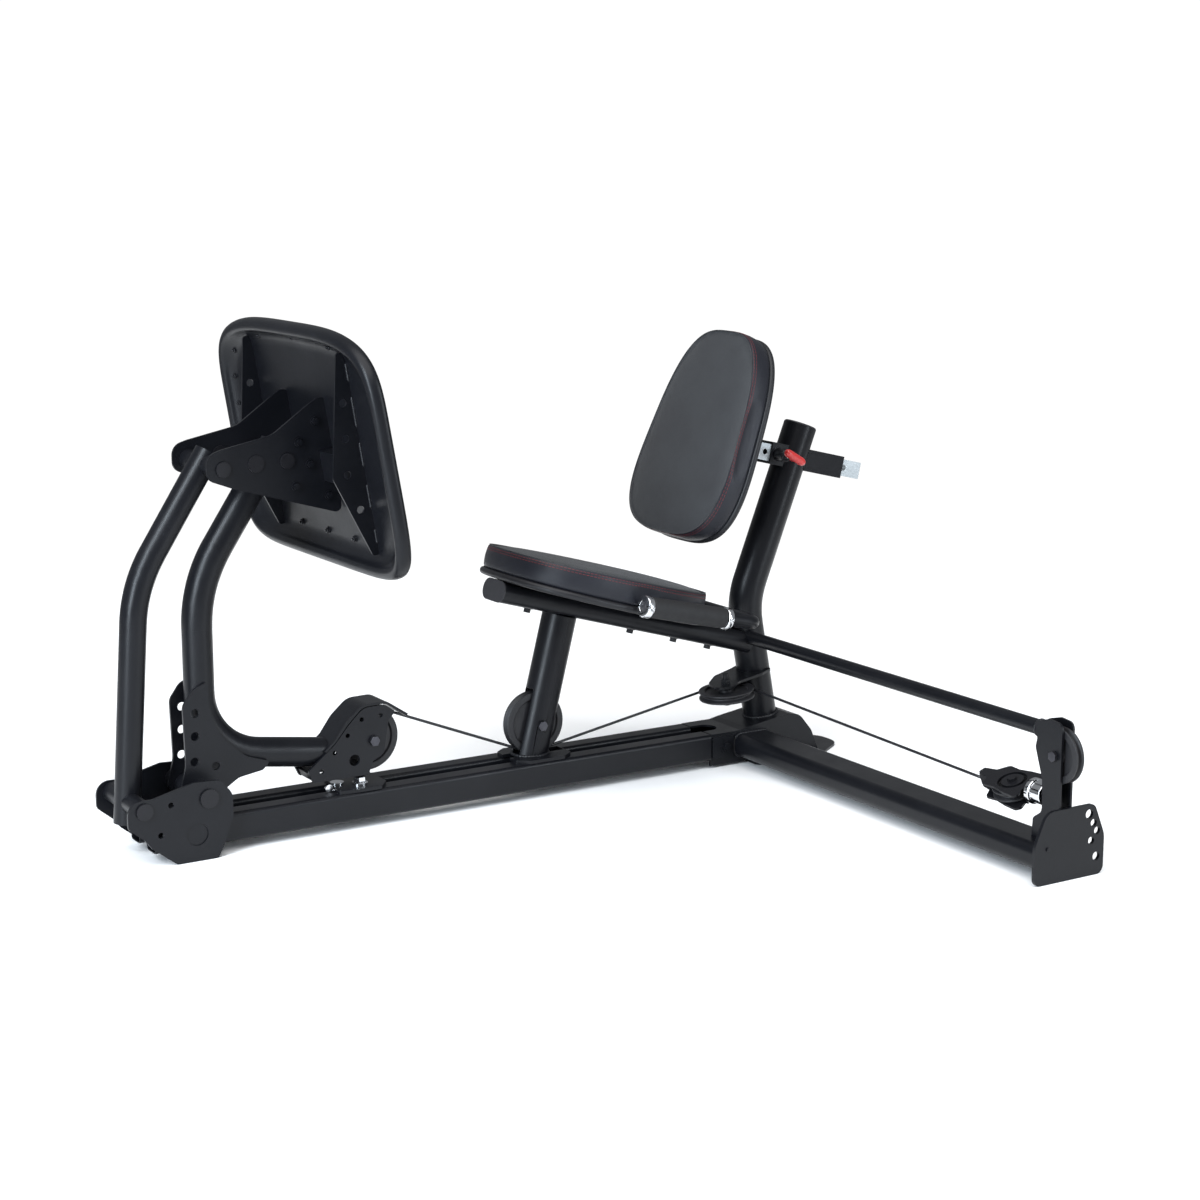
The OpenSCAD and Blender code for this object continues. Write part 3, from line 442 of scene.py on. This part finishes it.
def rounded(points, steps=10):
    """An outline of (x, y, radius) corners with each corner rounded."""
    result = []
    count = len(points)
    for i, (x, y, r) in enumerate(points):
        p = Vector((x, y))
        u = (Vector(points[i - 1][:2]) - p).normalized()
        v = (Vector(points[(i + 1) % count][:2]) - p).normalized()
        half = math.acos(max(-1, min(1, u.dot(v)))) / 2
        centre = p + (u + v).normalized() * (r / math.sin(half))
        a = p + u * (r / math.tan(half)) - centre
        b = p + v * (r / math.tan(half)) - centre
        a0 = math.atan2(a.y, a.x)
        turn = (math.atan2(b.y, b.x) - a0 + math.pi) % (2 * math.pi) - math.pi
        for k in range(steps + 1):
            t = a0 + turn * k / steps
            result.append(centre + Vector((math.cos(t), math.sin(t))) * r)
    return result


def outward(loop):
    """Unit normals that point out of a closed loop that runs anticlockwise."""
    count = len(loop)
    result = []
    for i in range(count):
        t = (loop[(i + 1) % count] - loop[i - 1]).normalized()
        result.append(Vector((t.y, -t.x)))
    return result


def spread(loop, count):
    """A closed loop again as count evenly spaced points."""
    lengths = [0.0]
    for i in range(len(loop)):
        lengths.append(lengths[-1] + (loop[(i + 1) % len(loop)] - loop[i]).length)
    result = []
    k = 0
    for i in range(count):
        want = lengths[-1] * i / count
        while lengths[k + 1] < want:
            k += 1
        share = (want - lengths[k]) / max(lengths[k + 1] - lengths[k], 1e-9)
        result.append(loop[k].lerp(loop[(k + 1) % len(loop)], share))
    return result


def egg(width, taper, height, square, count=160):
    """The pads' outline: half width w + taper * v, with rounded corners."""
    raw = []
    for i in range(720):
        a = 2 * math.pi * i / 720
        c, s = math.cos(a), math.sin(a)
        v = height / 2 * math.copysign(abs(s) ** (2 / square), s)
        u = (width / 2 + taper * v) * math.copysign(abs(c) ** (2 / square), c)
        raw.append(Vector((u, v)))
    return spread(raw, count)


def soften(obj, width=0.0008, segments=2, angle=35):
    """Small rounded edges and clean shading on a CAD node or a hard piece."""
    weld = obj.modifiers.new("weld", "WELD")
    weld.merge_threshold = 0.00002
    bevel = obj.modifiers.new("bevel", "BEVEL")
    bevel.width = width
    bevel.segments = segments
    bevel.limit_method = "ANGLE"
    bevel.angle_limit = math.radians(angle)
    bevel.harden_normals = True
    bevel.miter_outer = "MITER_ARC"
    bevel.use_clamp_overlap = True
    normal = obj.modifiers.new("normals", "WEIGHTED_NORMAL")
    normal.keep_sharp = True
    for p in obj.data.polygons:
        p.use_smooth = True


# ---- Frames of the sloping parts ----

SEAT_PLACE = (Matrix.Translation(SEAT_MIDDLE) @ Matrix.Rotation(math.radians(SEAT_TILT), 4, "Y")
              @ Matrix.Rotation(math.pi / 2, 4, "Z"))
BACK_PLACE = (Matrix.Translation(BACK_MIDDLE) @ Matrix.Rotation(math.radians(BACK_RECLINE), 4, "Y")
              @ Matrix.Rotation(math.pi / 2, 4, "Z") @ Matrix.Rotation(math.pi / 2, 4, "X"))
FOOT_PLACE = Matrix.Translation(FOOT_MIDDLE) @ Matrix.Rotation(math.radians(-FOOT_TILT), 4, "Y")
SLIDE_PLACE = Matrix.Translation(SLIDE_POINT) @ Matrix.Rotation(math.radians(SLIDE_TILT), 4, "Y")
HANDLE_DIR = (HANDLE_BACK - HANDLE_FRONT).normalized()
HANDLE_PLACE = (Matrix.Translation(HANDLE_FRONT)
                @ Matrix.Rotation(-math.atan2(HANDLE_DIR.z, HANDLE_DIR.x), 4, "Y"))


# ---- CAD nodes that keep their shape ----

SLOTS = {row["node"]: row["material_slot"] for row in frame["record"]["subparts"]}
FINE = {"cable_block", "mast_pulley_bracket", "seat_bolts", "stop_bolt", "cable_anchor",
        "post_axle", "end_axle", "tail_axle", "block_spool"}


def dress_cad_nodes():
    """Gives every CAD node its slot's material and small rounded edges."""
    for name, obj in NODES.items():
        obj.data.materials.clear()
        obj.data.materials.append(MATERIALS[SLOTS[name]])
        soften(obj, 0.0005 if name in FINE else 0.0009)


# ---- Pads ----


class Pad:
    """A foam pad: crowned face, sewn seam, side band and tucked bottom, drawn in its board's frame.

    depth(d) turns a height above the board into the frame's own third coordinate."""

    def __init__(self, name, node, place, loop, thickness, crown, drop, depth, body, wedge=0.0):
        self.name, self.node, self.place, self.body = name, node, place, body
        self.loop, self.thickness, self.crown, self.depth = loop, thickness, crown, depth
        self.drop = drop        # how far the sewn seam lies below the face's shoulder
        self.wedge = wedge      # how much thicker the pad is at one end than at the other
        self.reach = max(p.y for p in loop) * 2
        self.normals = outward(loop)

    def point(self, k, offset, d, scale=1.0):
        flat = self.loop[k] * scale + self.normals[k] * offset
        d += self.wedge * flat.y / self.reach * d / self.thickness
        return self.place @ Vector((flat.x, flat.y, self.depth(d)))

    def rings(self):
        """(scale, offset, height, pinned) of every ring from the face's middle to the bottom."""
        seam = self.thickness - self.drop
        rows = []
        for i in range(1, FACE_RINGS + 1):
            s = math.sin(math.pi / 2 * i / (FACE_RINGS + 1))
            rise = self.crown * (1 - s ** 2.6) + self.drop * (1 - max(0.0, (s - 0.75) / 0.25) ** 2.4)
            rows.append((s, 0.0, seam + rise, False))
        rows += [(1.0, -0.0024, seam + 0.0010, False), (1.0, -0.0008, seam + 0.0001, True)]
        rows += [(1.0, -0.0018, seam - 0.0012, True), (1.0, -0.0004, seam - 0.0024, True)]
        for i in range(1, 8):
            t = i / 8
            rows.append((1.0, 0.0020 * math.sin(math.pi * t), (seam - 0.0024) * (1 - t) + 0.001 * t, False))
        rows += [(1.0, -0.0010, 0.0006, True), (1.0, -0.0060, 0.0002, True)]
        return rows

    def build(self):
        """The pad's closed skin, blown up between its sewn rings."""
        count = len(self.loop)
        rows = self.rings()
        verts = [self.point(k, off, d, s) for s, off, d, _ in rows for k in range(count)]
        faces = ring_faces(len(rows), count)
        middle = len(verts)
        verts.append(self.place @ Vector((0, 0, self.depth(self.thickness + self.crown))))
        faces += [(middle, (k + 1) % count, k) for k in range(count)]
        under = len(verts)
        verts.append(self.place @ Vector((0, 0, self.depth(0.0002))))
        last = (len(rows) - 1) * count
        faces += [(under, last + k, last + (k + 1) % count) for k in range(count)]
        obj = piece(self.name, verts, faces, "vinyl", None)
        # The side band below the seam wears the darker vinyl copy, which paints shade on it
        obj.data.materials.append(SIDE_VINYL_PAINTED_SHADE)
        seam_row = FACE_RINGS + 2
        for p in obj.data.polygons:
            row = min(i // count for i in p.vertices)
            p.material_index = 1 if seam_row <= row and middle not in p.vertices else 0
        pinned = obj.vertex_groups.new(name="sewn")
        sewn = [i * count + k for i, row in enumerate(rows) if row[3] for k in range(count)]
        pinned.add(sewn + [under], 1, "ADD")
        flip_outward(obj)
        inflate(obj, "sewn")
        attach(obj, self.body)
        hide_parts(self.node)
        self.object = obj

    def stitches(self):
        """Two rows of red thread on the band, below the seam."""
        mesh = self.object.data
        tree = BVHTree.FromPolygons([v.co for v in mesh.vertices], [tuple(p.vertices) for p in mesh.polygons])
        parts = []
        for below in STITCH_ROWS:
            route = []
            for k in range(len(self.loop)):
                near = tree.find_nearest(self.point(k, 0.004, self.thickness - self.drop - below))
                route.append((near[0], near[1]))
            parts += stitch_row(route, STITCH_LENGTH, STITCH_GAP, THREAD_R)
        verts, faces = joined(parts)
        return piece(self.name + "_stitching", verts, faces, "red_plastic", self.body, THREAD)


def stitch_row(route, length, gap, radius):
    """Short rounded stitches along a closed route of (point, normal)."""
    points = [p for p, _ in route]
    total = sum((points[(i + 1) % len(points)] - p).length for i, p in enumerate(points))
    number = int(total / (length + gap))
    step = total / number
    parts = []
    k, done = 0, 0.0

    def at(want):
        nonlocal k, done
        while True:
            a, b = points[k % len(points)], points[(k + 1) % len(points)]
            span = (b - a).length
            if done + span >= want:
                share = (want - done) / max(span, 1e-9)
                normal = route[k % len(points)][1].lerp(route[(k + 1) % len(points)][1], share)
                return a.lerp(b, share), normal.normalized()
            done += span
            k += 1

    for i in range(number):
        start, normal = at(i * step)
        end, _ = at(i * step + length)
        along = end - start
        side = along.normalized().cross(normal)
        path = []
        radii = []
        for j in range(6):
            t = j / 5
            lift = math.sin(math.pi * t)
            path.append(start + along * t + normal * (radius * (0.9 * lift - 0.35))
                        + side * (radius * 0.3 * (t - 0.5)))
            radii.append(radius * (0.45 + 0.6 * lift))
        parts.append(tube(path, lambda n, r=radii: r[n], 6))
    return parts


def flip_outward(obj):
    """Turns every face of a closed mesh to point out."""
    bpy.ops.object.select_all(action="DESELECT")
    obj.select_set(True)
    bpy.context.view_layer.objects.active = obj
    bpy.ops.object.mode_set(mode="EDIT")
    bpy.ops.mesh.select_all(action="SELECT")
    bpy.ops.mesh.normals_make_consistent(inside=False)
    bpy.ops.object.mode_set(mode="OBJECT")


def inflate(obj, group, frames=16, most=0.005):
    """Blows the vinyl up between its seams with a short cloth simulation, then keeps the result."""
    scene = bpy.context.scene
    rest = [v.co.copy() for v in obj.data.vertices]
    cloth = obj.modifiers.new("cloth", "CLOTH")
    settings = cloth.settings
    settings.quality = 6
    settings.mass = 0.4
    settings.tension_stiffness = 60
    settings.compression_stiffness = 60
    settings.shear_stiffness = 20
    settings.bending_stiffness = 2
    settings.use_pressure = True
    settings.uniform_pressure_force = 4
    settings.vertex_group_mass = group
    settings.pin_stiffness = 1
    settings.effector_weights.gravity = 0
    cloth.collision_settings.use_collision = False
    cloth.point_cache.frame_start = 1
    cloth.point_cache.frame_end = frames
    for f in range(1, frames + 1):
        scene.frame_set(f)
    graph = bpy.context.evaluated_depsgraph_get()
    moved = [v.co.copy() for v in obj.evaluated_get(graph).data.vertices]
    obj.modifiers.remove(cloth)
    scene.frame_set(1)
    for v, a, b in zip(obj.data.vertices, rest, moved):
        step = b - a
        if step.length > most:
            step *= most / step.length
        v.co = a + step
    obj.data.update()


def board(name, node, place, loop, low, high, body, lip):
    """A board with a rounded, vinyl-wrapped edge between two heights of its frame."""
    normals = outward(loop)
    half = (high - low) / 2
    rows = [(-0.02, low)]
    for i in range(9):
        a = math.pi * (i / 8 - 0.5)
        rows.append((lip * math.cos(a) - lip, low + half + half * math.sin(a)))
    rows.append((-0.02, high))
    count = len(loop)
    verts = []
    for off, w in rows:
        for k in range(count):
            flat = loop[k] + normals[k] * off
            verts.append(place @ Vector((flat.x, flat.y, w)))
    faces = ring_faces(len(rows), count)
    faces.append(tuple(reversed(range(count))))
    faces.append(tuple(range((len(rows) - 1) * count, len(rows) * count)))
    obj = piece(name, verts, faces, "pad_board", None)
    flip_outward(obj)
    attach(obj, body)
    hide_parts(node)


def make_seat():
    loop = egg(SEAT_WIDTH + 0.008, SEAT_TAPER, SEAT_LENGTH + 0.01, SEAT_SQUARE)
    board("seat_board_wrap", "seat_board", SEAT_PLACE, loop, 0.001, BOARD_T, "frame", 0.006)
    pad = Pad("seat_cushion", "seat_pad", SEAT_PLACE, egg(SEAT_WIDTH, SEAT_TAPER, SEAT_LENGTH, SEAT_SQUARE),
              SEAT_PAD_T, 0.007, 0.005, lambda d: BOARD_T + d, "frame", -0.0075)
    pad.build()
    pad.stitches()


def make_back():
    loop = egg(BACK_WIDTH + 0.004, BACK_TAPER, BACK_HEIGHT + 0.004, BACK_SQUARE)
    board("back_board_wrap", "back_board", BACK_PLACE, loop, BACK_PAD_T, BACK_PAD_T + BACK_BOARD_T,
          "backrest", 0.005)
    pad = Pad("back_cushion", "back_pad", BACK_PLACE, egg(BACK_WIDTH, BACK_TAPER, BACK_HEIGHT, BACK_SQUARE),
              BACK_PAD_T, 0.009, 0.0045, lambda d: BACK_PAD_T - d, "backrest")
    pad.build()
    pad.stitches()


# ---- Foot plate ----


def foot_loop(inset, count):
    """The plate's shield outline moved in by inset, squarer below its widest line than above it."""
    raw = []
    for i in range(960):
        a = 2 * math.pi * i / 960
        c, s = math.cos(a), math.sin(a)
        square = 7.4 if s < 0 else 3.67
        reach = FOOT_HEIGHT / 2 - inset + (FOOT_WIDEST if s < 0 else -FOOT_WIDEST)
        v = reach * math.copysign(abs(s) ** (2 / square), s)
        half = FOOT_WIDTH / 2 - inset - FOOT_TAPER * v
        raw.append(Vector((half * math.copysign(abs(c) ** (2 / square), c), FOOT_WIDEST + v)))
    return spread(raw, count)


def foot_point(flat, x):
    """flat is (y, up the plate); x is the depth, towards the user."""
    return FOOT_PLACE @ Vector((x, flat.x, flat.y))


def make_foot_plate():
    """A pressed steel pan with a rolled rim."""
    count = 240
    loop = foot_loop(0, count)
    normals = outward(loop)
    # the flat pan and the crease before the rim, as (inset, depth) in millimetres
    inner = [(85, 5), (50, 5), (38, 4), (30, 0.5), (25.5, -4.5), (22.5, -8)]
    roll = [(21.5, -11.5), (19, -14.2), (15.5, -15.8), (11, -16.3), (6.5, -15.2), (3, -12.2), (1, -8),
            (0, -3.5), (0, 1), (0.9, 4.2), (3, 6.6), (6.2, 7.8), (10, 8)]
    verts = []
    for inset, x in inner:
        verts += [foot_point(p, x * MM) for p in foot_loop(inset * MM, count)]
    for inset, x in roll:
        verts += [foot_point(p - n * (inset * MM), x * MM) for p, n in zip(loop, normals)]
    faces = ring_faces(len(inner) + len(roll), count)
    faces.append(tuple(reversed(range(count))))
    faces.append(tuple(range(len(verts) - count, len(verts))))
    obj = piece("foot_pan", verts, faces, "black_powder_coat", None)
    flip_outward(obj)
    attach(obj, "carriage")
    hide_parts("foot_plate")
    make_foot_nuts()
    make_rib_welds()


def make_foot_nuts():
    """The nuts on the back of the pan, the outer ones a little deeper in its slope."""
    seats = [(PAN_BACK, y, v) for y, v in MIDDLE_NUTS]
    seats += [(EDGE_NUT_BACK, s * y, v) for s in (-1, 1) for y, v in EDGE_NUTS]
    parts = []
    for back, y, v in seats:
        place = FOOT_PLACE @ Matrix.Translation((back, y * MM, v * MM))
        parts += nut_and_washer(place @ Matrix.Rotation(-math.pi / 2, 4, "Y"))
    verts, faces = joined(parts)
    nuts = piece("foot_pan_nuts", verts, faces, "black_steel", "carriage")
    soften(nuts, 0.0003)


def make_rib_welds():
    """Short beads that hold the two ribs to the pan."""
    beads = []
    for s in (-1, 1):
        y = s * (RIB_Y + 0.0028)
        for low, high in RIB_WELDS:
            steps = int((high - low) / 0.9)
            path = [foot_point(Vector((y, (low + (high - low) * i / steps) * MM)), PAN_BACK - 0.0006)
                    for i in range(steps + 1)]
            ends = [min(1.0, 0.25 + min(i, steps - i) / 3) for i in range(steps + 1)]
            beads.append(tube(path, lambda i, e=ends: 0.0024 * e[i] * (1 + 0.16 * math.sin(i * 1.9)), 8))
    verts, faces = joined(beads)
    piece("foot_rib_welds", verts, faces, "black_powder_coat", "carriage", WELD)


def nut_and_washer(place, flat=0.0045, height=0.0042):
    """A hexagon nut with its washer and the end of its bolt, on the local Z axis."""
    washer = lathe([(flat * 1.35, 0), (flat * 1.35, 0.0012), (flat * 1.3, 0.0015), (0.001, 0.0015)],
                   place, 28)
    nut = lathe([(flat * 1.12, 0.0014), (flat * 1.12, height), (flat * 0.95, height + 0.0008),
                 (0.001, height + 0.0008)], place, 6)
    end = lathe([(flat * 0.5, height), (flat * 0.5, height + 0.0026), (flat * 0.4, height + 0.0032),
                 (0.001, height + 0.0032)], place, 20)
    return [washer, nut, end]


def make_tread():
    """A rubber sheet with raised cross bars."""
    loop = foot_loop(0.0272, 200)
    normals = outward(loop)
    base = PAN_BACK + PAN_T
    section = [(0.0, base), (0.0, base + 0.0030), (-0.0008, base + 0.0038), (-0.0022, base + 0.0040)]
    count = len(loop)
    verts = [foot_point(loop[k] + normals[k] * off, x) for off, x in section for k in range(count)]
    faces = ring_faces(len(section), count)
    faces.append(tuple(reversed(range(count))))
    faces.append(tuple(range((len(section) - 1) * count, len(section) * count)))
    parts = [(verts, faces)]
    pitch, rise = 0.010, 0.0010
    top = base + 0.0040
    z = -FOOT_HEIGHT / 2 + 0.040
    row = 0
    while z < FOOT_HEIGHT / 2 - 0.038:
        span = max((p.x for p in loop if abs(p.y - z) < 0.004), default=0) - 0.012
        y = -span + (0.014 if row % 2 else 0)
        while y + 0.022 < span:
            parts.append(tread_bar(y, z, 0.022, 0.0042, top, rise))
            y += 0.028
        z += pitch
        row += 1
    verts, faces = joined(parts)
    obj = piece("foot_tread_sheet", verts, faces, "tread_rubber", None)
    flip_outward(obj)
    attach(obj, "carriage")
    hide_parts("foot_tread")


def tread_bar(y, z, length, width, top, rise):
    """One low bar with sloping sides."""
    slope = 0.0010
    verts = []
    for inset, x in ((0, top - 0.0002), (slope, top + rise)):
        for a, b in ((0, -1), (1, -1), (1, 1), (0, 1)):
            yy = y + (inset if a == 0 else length - inset)
            zz = z + b * (width / 2 - inset)
            verts.append(foot_point(Vector((yy, zz)), x))
    faces = [(0, 1, 5, 4), (1, 2, 6, 5), (2, 3, 7, 6), (3, 0, 4, 7), (4, 5, 6, 7), (3, 2, 1, 0)]
    return verts, faces


# ---- Handles ----


def make_grips():
    """Foam grips with a fine ribbed surface, chrome collars and plugs."""
    foam, collars, plugs = [], [], []
    for s in (-1, 1):
        line = HANDLE_PLACE @ Matrix.Translation((0, s * GRIP_Y, 0)) @ Matrix.Rotation(math.pi / 2, 4, "Y")
        profile = [(BAR_R, 14), (0.0160, 14), (0.0175, 14.8), (0.0183, 16.5)]
        for i in range(1, 70):
            z = 16.5 + 157 * i / 70
            swell = 0.0004 * math.sin(math.pi * i / 70)
            profile.append((0.0183 + swell + (0.00025 if i % 2 else 0), z))
        profile += [(0.0183, 173.5), (0.0175, 175.2), (0.0160, 176), (BAR_R, 176)]
        foam.append(lathe([(r, z * MM) for r, z in profile], line, 48))
        front = [(0.0108, 0.6), (0.0114, 0), (0.0172, 0), (0.0189, 0.7), (0.0197, 2.2), (0.0200, 4),
                 (0.0200, 10), (0.0197, 12), (0.0188, 13.4), (0.0170, 14), (BAR_R, 14), (BAR_R, 6),
                 (0.0108, 6)]
        rear = [(BAR_R, 176), (0.0170, 176), (0.0188, 176.6), (0.0197, 178), (0.0200, 180), (0.0200, 184),
                (0.0197, 186), (0.0188, 187.4), (0.0170, 188), (BAR_R, 188)]
        for ring in (front, rear):
            collars.append(lathe([(r, z * MM) for r, z in ring], line, 56, ring=True))
        plug = [(0.0005, 2.0), (0.0026, 2.0), (0.0031, 2.6), (0.0034, 3.2), (0.0100, 2.4),
                (0.0109, 2.9), (0.0109, 8)]
        plugs.append(lathe([(r, z * MM) for r, z in plug], line, 40))
    for name, parts, slot, node in (("grip_foam", foam, "grip_rubber", "grips"),
                                    ("grip_collar_rings", collars, "chrome", "grip_collars")):
        verts, faces = joined(parts)
        obj = piece(name, verts, faces, slot, None)
        flip_outward(obj)
        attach(obj, "frame")
        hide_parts(node)
        if slot == "chrome":
            soften(obj, 0.0002, 1)
    verts, faces = joined(plugs)
    obj = piece("grip_plugs", verts, faces, "cap_plastic", None)
    flip_outward(obj)
    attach(obj, "frame")


def make_pull_handle():
    """A vinyl-dipped T handle, fat at both ends, on the pull pin."""
    root = SLIDE_PLACE @ Matrix.Translation((PIN_X, HANDLE_Y, 0))
    place = (root @ Matrix.Rotation(math.radians(HANDLE_TURN), 4, "Y")
             @ Matrix.Rotation(math.pi / 2, 4, "Y"))
    bar = []
    for i in range(33):
        t = i / 16 - 1
        waist = 0.0078 + 0.0005 * t * t
        end = math.sqrt(max(0.0, 1 - abs(t) ** 6))
        bar.append((max(waist * end, 0.0002), t * 0.0258))
    neck_place = root @ Matrix.Rotation(-math.pi / 2, 4, "X")
    neck = lathe([(0.0062, 0), (0.0068, 0.004), (0.0078, 0.0075), (0.0074, 0.0085), (0.0052, 0.0088)],
                 neck_place, 32)
    verts, faces = joined([lathe(bar, place, 32), neck])
    obj = piece("pull_handle_dip", verts, faces, "red_plastic", None)
    flip_outward(obj)
    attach(obj, "pin")
    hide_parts("pull_handle")


# ---- Cable ----


def arc(centre, radius, start, end, steps):
    """Points on a circle in the XZ plane, angles in degrees."""
    result = []
    for i in range(steps + 1):
        a = math.radians(start + (end - start) * i / steps)
        result.append(Vector((centre.x + radius * math.cos(a), 0, centre.z + radius * math.sin(a))))
    return result


def along(a, b, steps):
    """Points between a and b, without a itself."""
    return [a.lerp(b, i / steps) for i in range(1, steps + 1)]


def make_cable():
    """The taut cable: two stretches from the anchor round the tail pulley and on to the post pulley, and the
    still run to the block.
    """
    gap = POST_WHEEL - TAIL_WHEEL
    tangent = math.degrees(math.atan2(gap.z, gap.x) - math.asin(2 * PULLEY_RUN_R / gap.length))
    rise = arc(TAIL_WHEEL, PULLEY_RUN_R, 188, 90, 22)
    first = [CABLE_ANCHOR.lerp(rise[0], i / 8) for i in range(8)] + rise
    fall = arc(TAIL_WHEEL, PULLEY_RUN_R, 90, tangent + 90, 8)
    under = arc(POST_WHEEL, PULLEY_RUN_R, tangent - 90, -90, 5)
    second = fall + along(fall[-1], under[0], 40) + under[1:]
    for name, path, ends in (("cable_rise", first, ("frame", "press_arm", CABLE_ANCHOR, rise[4])),
                             ("cable_fall", second, ("press_arm", "frame", fall[-1], under[0]))):
        verts, faces = tube(path, CABLE_R, 12)
        obj = piece(name, verts, faces, "cable_coat", None)
        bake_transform(obj)
        if name == "cable_fall":
            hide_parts("cable_tail")
    leave = arc(POST_WHEEL, PULLEY_RUN_R, -90, -90 + CABLE_CLIMB, 4)
    swivel = Matrix.Translation(MAST_WHEEL) @ Matrix.Rotation(math.radians(-MAST_WHEEL_LEAN), 4, "Y")
    turn = []
    for i in range(19):
        a = math.radians(90 - 90 * i / 18)
        turn.append(swivel @ Vector((math.cos(a) * MAST_RUN_R, math.sin(a) * MAST_RUN_R, 0)))
    straight = along(leave[-1], turn[0], 24)
    side = along(turn[-1], CABLE_CLAMP, 30)
    verts, faces = tube(leave + straight + turn[1:] + side, CABLE_R, 12)
    obj = piece("cable_run", verts, faces, "cable_coat", "frame")
    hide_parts("cable_main")


# ---- Weld beads ----


def weld(name, path, body, radius):
    """A rippled bead along a closed path."""
    verts, faces = tube(path, lambda i: radius * (1 + 0.16 * math.sin(i * 1.9)), 8, closed=True)
    piece(name, verts, faces, "black_powder_coat", body, WELD)


def slanted_ring(centre, axis, radius, plane_normal, steps=110):
    """Where a round tube meets a plane through centre."""
    axis, n = axis.normalized(), plane_normal.normalized()
    u = axis.orthogonal().normalized()
    v = axis.cross(u)
    result = []
    for i in range(steps):
        a = 2 * math.pi * i / steps
        p = centre + u * (radius * math.cos(a)) + v * (radius * math.sin(a))
        result.append(p + axis * ((centre - p).dot(n) / axis.dot(n)))
    return result


def make_welds():
    """Beads round the feet of the mast and post, and on the side arm and its brace."""
    up = Vector((0, 0, 1))
    mast_low = (MAST_BEND - MAST_FOOT) * MM
    slope = Vector((-(84 - 69.5), 0, 98)) * MM
    base = Vector((0.9, 0, 79.4)) * MM
    weld("weld_mast", slanted_ring(base, mast_low, 0.0325, slope), "frame", 0.003)
    post_axis = Vector((64.5, 0, 251.5))
    post_foot = Vector((-0.5127, 0, 0.0725))
    weld("weld_post", slanted_ring(post_foot, post_axis, 0.0325, up), "frame", 0.003)
    brace_end = Vector((UPRIGHT_X, -0.834, 0.238))
    across = Vector((0, 1, 0))
    weld("weld_brace_0", slanted_ring(brace_end, across, 0.0132, across, 60), "frame", 0.002)
    corners = [(-1, -1), (1, -1), (1, 1), (-1, 1)]
    oval = spread(rounded([(x * 0.0425, z * 0.022, 0.017) for x, z in corners], 8), 130)
    for k, y in enumerate((-0.0525, -0.8970)):
        weld(f"weld_side_arm_{k}", [Vector((-0.0545 + p.x, y, 0.038 + p.y)) for p in oval], "frame", 0.0024)


# ---- Floor, light, camera ----


def make_stage():
    """A pale round floor, an even sky lamp and two tall strips."""
    mesh = bpy.data.meshes.new("floor")
    turns = [math.radians(3 * i) for i in range(120)]
    ring = [(FLOOR_MIDDLE[0] + FLOOR_R * math.cos(a), FLOOR_MIDDLE[1] + FLOOR_R * math.sin(a), 0)
            for a in turns]
    mesh.from_pydata(ring, [], [tuple(range(120))])
    floor = bpy.data.objects.new("floor", mesh)
    bpy.context.scene.collection.objects.link(floor)
    mesh.materials.append(floor_paint())
    world = bpy.data.worlds.new("studio")
    bpy.context.scene.world = world
    world.use_nodes = True
    # a soft grey surround lights the machine, and the open background stays white
    nodes, links = world.node_tree.nodes, world.node_tree.links
    surround = nodes["Background"]
    surround.inputs["Color"].default_value = (0.93, 0.96, 1.0, 1)
    surround.inputs["Strength"].default_value = 0.28
    white = nodes.new("ShaderNodeBackground")
    white.inputs["Color"].default_value = (1, 1, 1, 1)
    white.inputs["Strength"].default_value = 1.05
    mix = nodes.new("ShaderNodeMixShader")
    links.new(nodes.new("ShaderNodeLightPath").outputs["Is Camera Ray"], mix.inputs["Fac"])
    links.new(surround.outputs["Background"], mix.inputs[1])
    links.new(white.outputs["Background"], mix.inputs[2])
    links.new(mix.outputs["Shader"], nodes["World Output"].inputs["Surface"])
    sky = bpy.data.lights.new("sky", "SUN")
    sky.energy = 3.1
    sky.angle = math.radians(70)
    aimed("sky", sky, (-1.6, -1.4, 4.0), (-0.5, -0.2, 0))
    lamp("left_strip", (-3.5, -1.3, 1.5), (-0.8, 0, 0.5), 0.8, 2.8, 150, (0.80, 0.90, 1.0))
    lamp("right_strip", (1.7, -3.7, 1.5), (-0.3, -0.2, 0.4), 0.4, 2.8, 75, (0.86, 0.93, 1.0))
    bpy.context.scene.view_settings.view_transform = "Standard"


def aimed(name, data, at, target):
    obj = bpy.data.objects.new(name, data)
    obj.location = at
    obj.rotation_mode = "QUATERNION"
    obj.rotation_quaternion = (Vector(target) - Vector(at)).to_track_quat("-Z", "Y")
    bpy.context.scene.collection.objects.link(obj)


def lamp(name, at, target, width, height, power, color):
    data = bpy.data.lights.new(name, "AREA")
    data.shape = "RECTANGLE"
    data.size = width
    data.size_y = height
    data.energy = power
    data.color = color
    aimed(name, data, at, target)


def make_camera():
    azimuth, elevation = math.radians(CAMERA_AZIMUTH), math.radians(CAMERA_ELEVATION)
    back = Vector((math.sin(azimuth) * math.cos(elevation), -math.cos(azimuth) * math.cos(elevation),
                   math.sin(elevation)))
    data = bpy.data.cameras.new("camera")
    data.sensor_width = CAMERA_SENSOR
    data.lens = CAMERA_LENS
    obj = bpy.data.objects.new("camera", data)
    obj.location = CAMERA_AT
    obj.rotation_mode = "QUATERNION"
    obj.rotation_quaternion = (-back).to_track_quat("-Z", "Y")
    bpy.context.scene.collection.objects.link(obj)
    bpy.context.scene.camera = obj


make_camera()
make_stage()
dress_cad_nodes()
make_cable()
make_seat()
make_back()
make_foot_plate()
make_tread()
make_grips()
make_pull_handle()
make_welds()
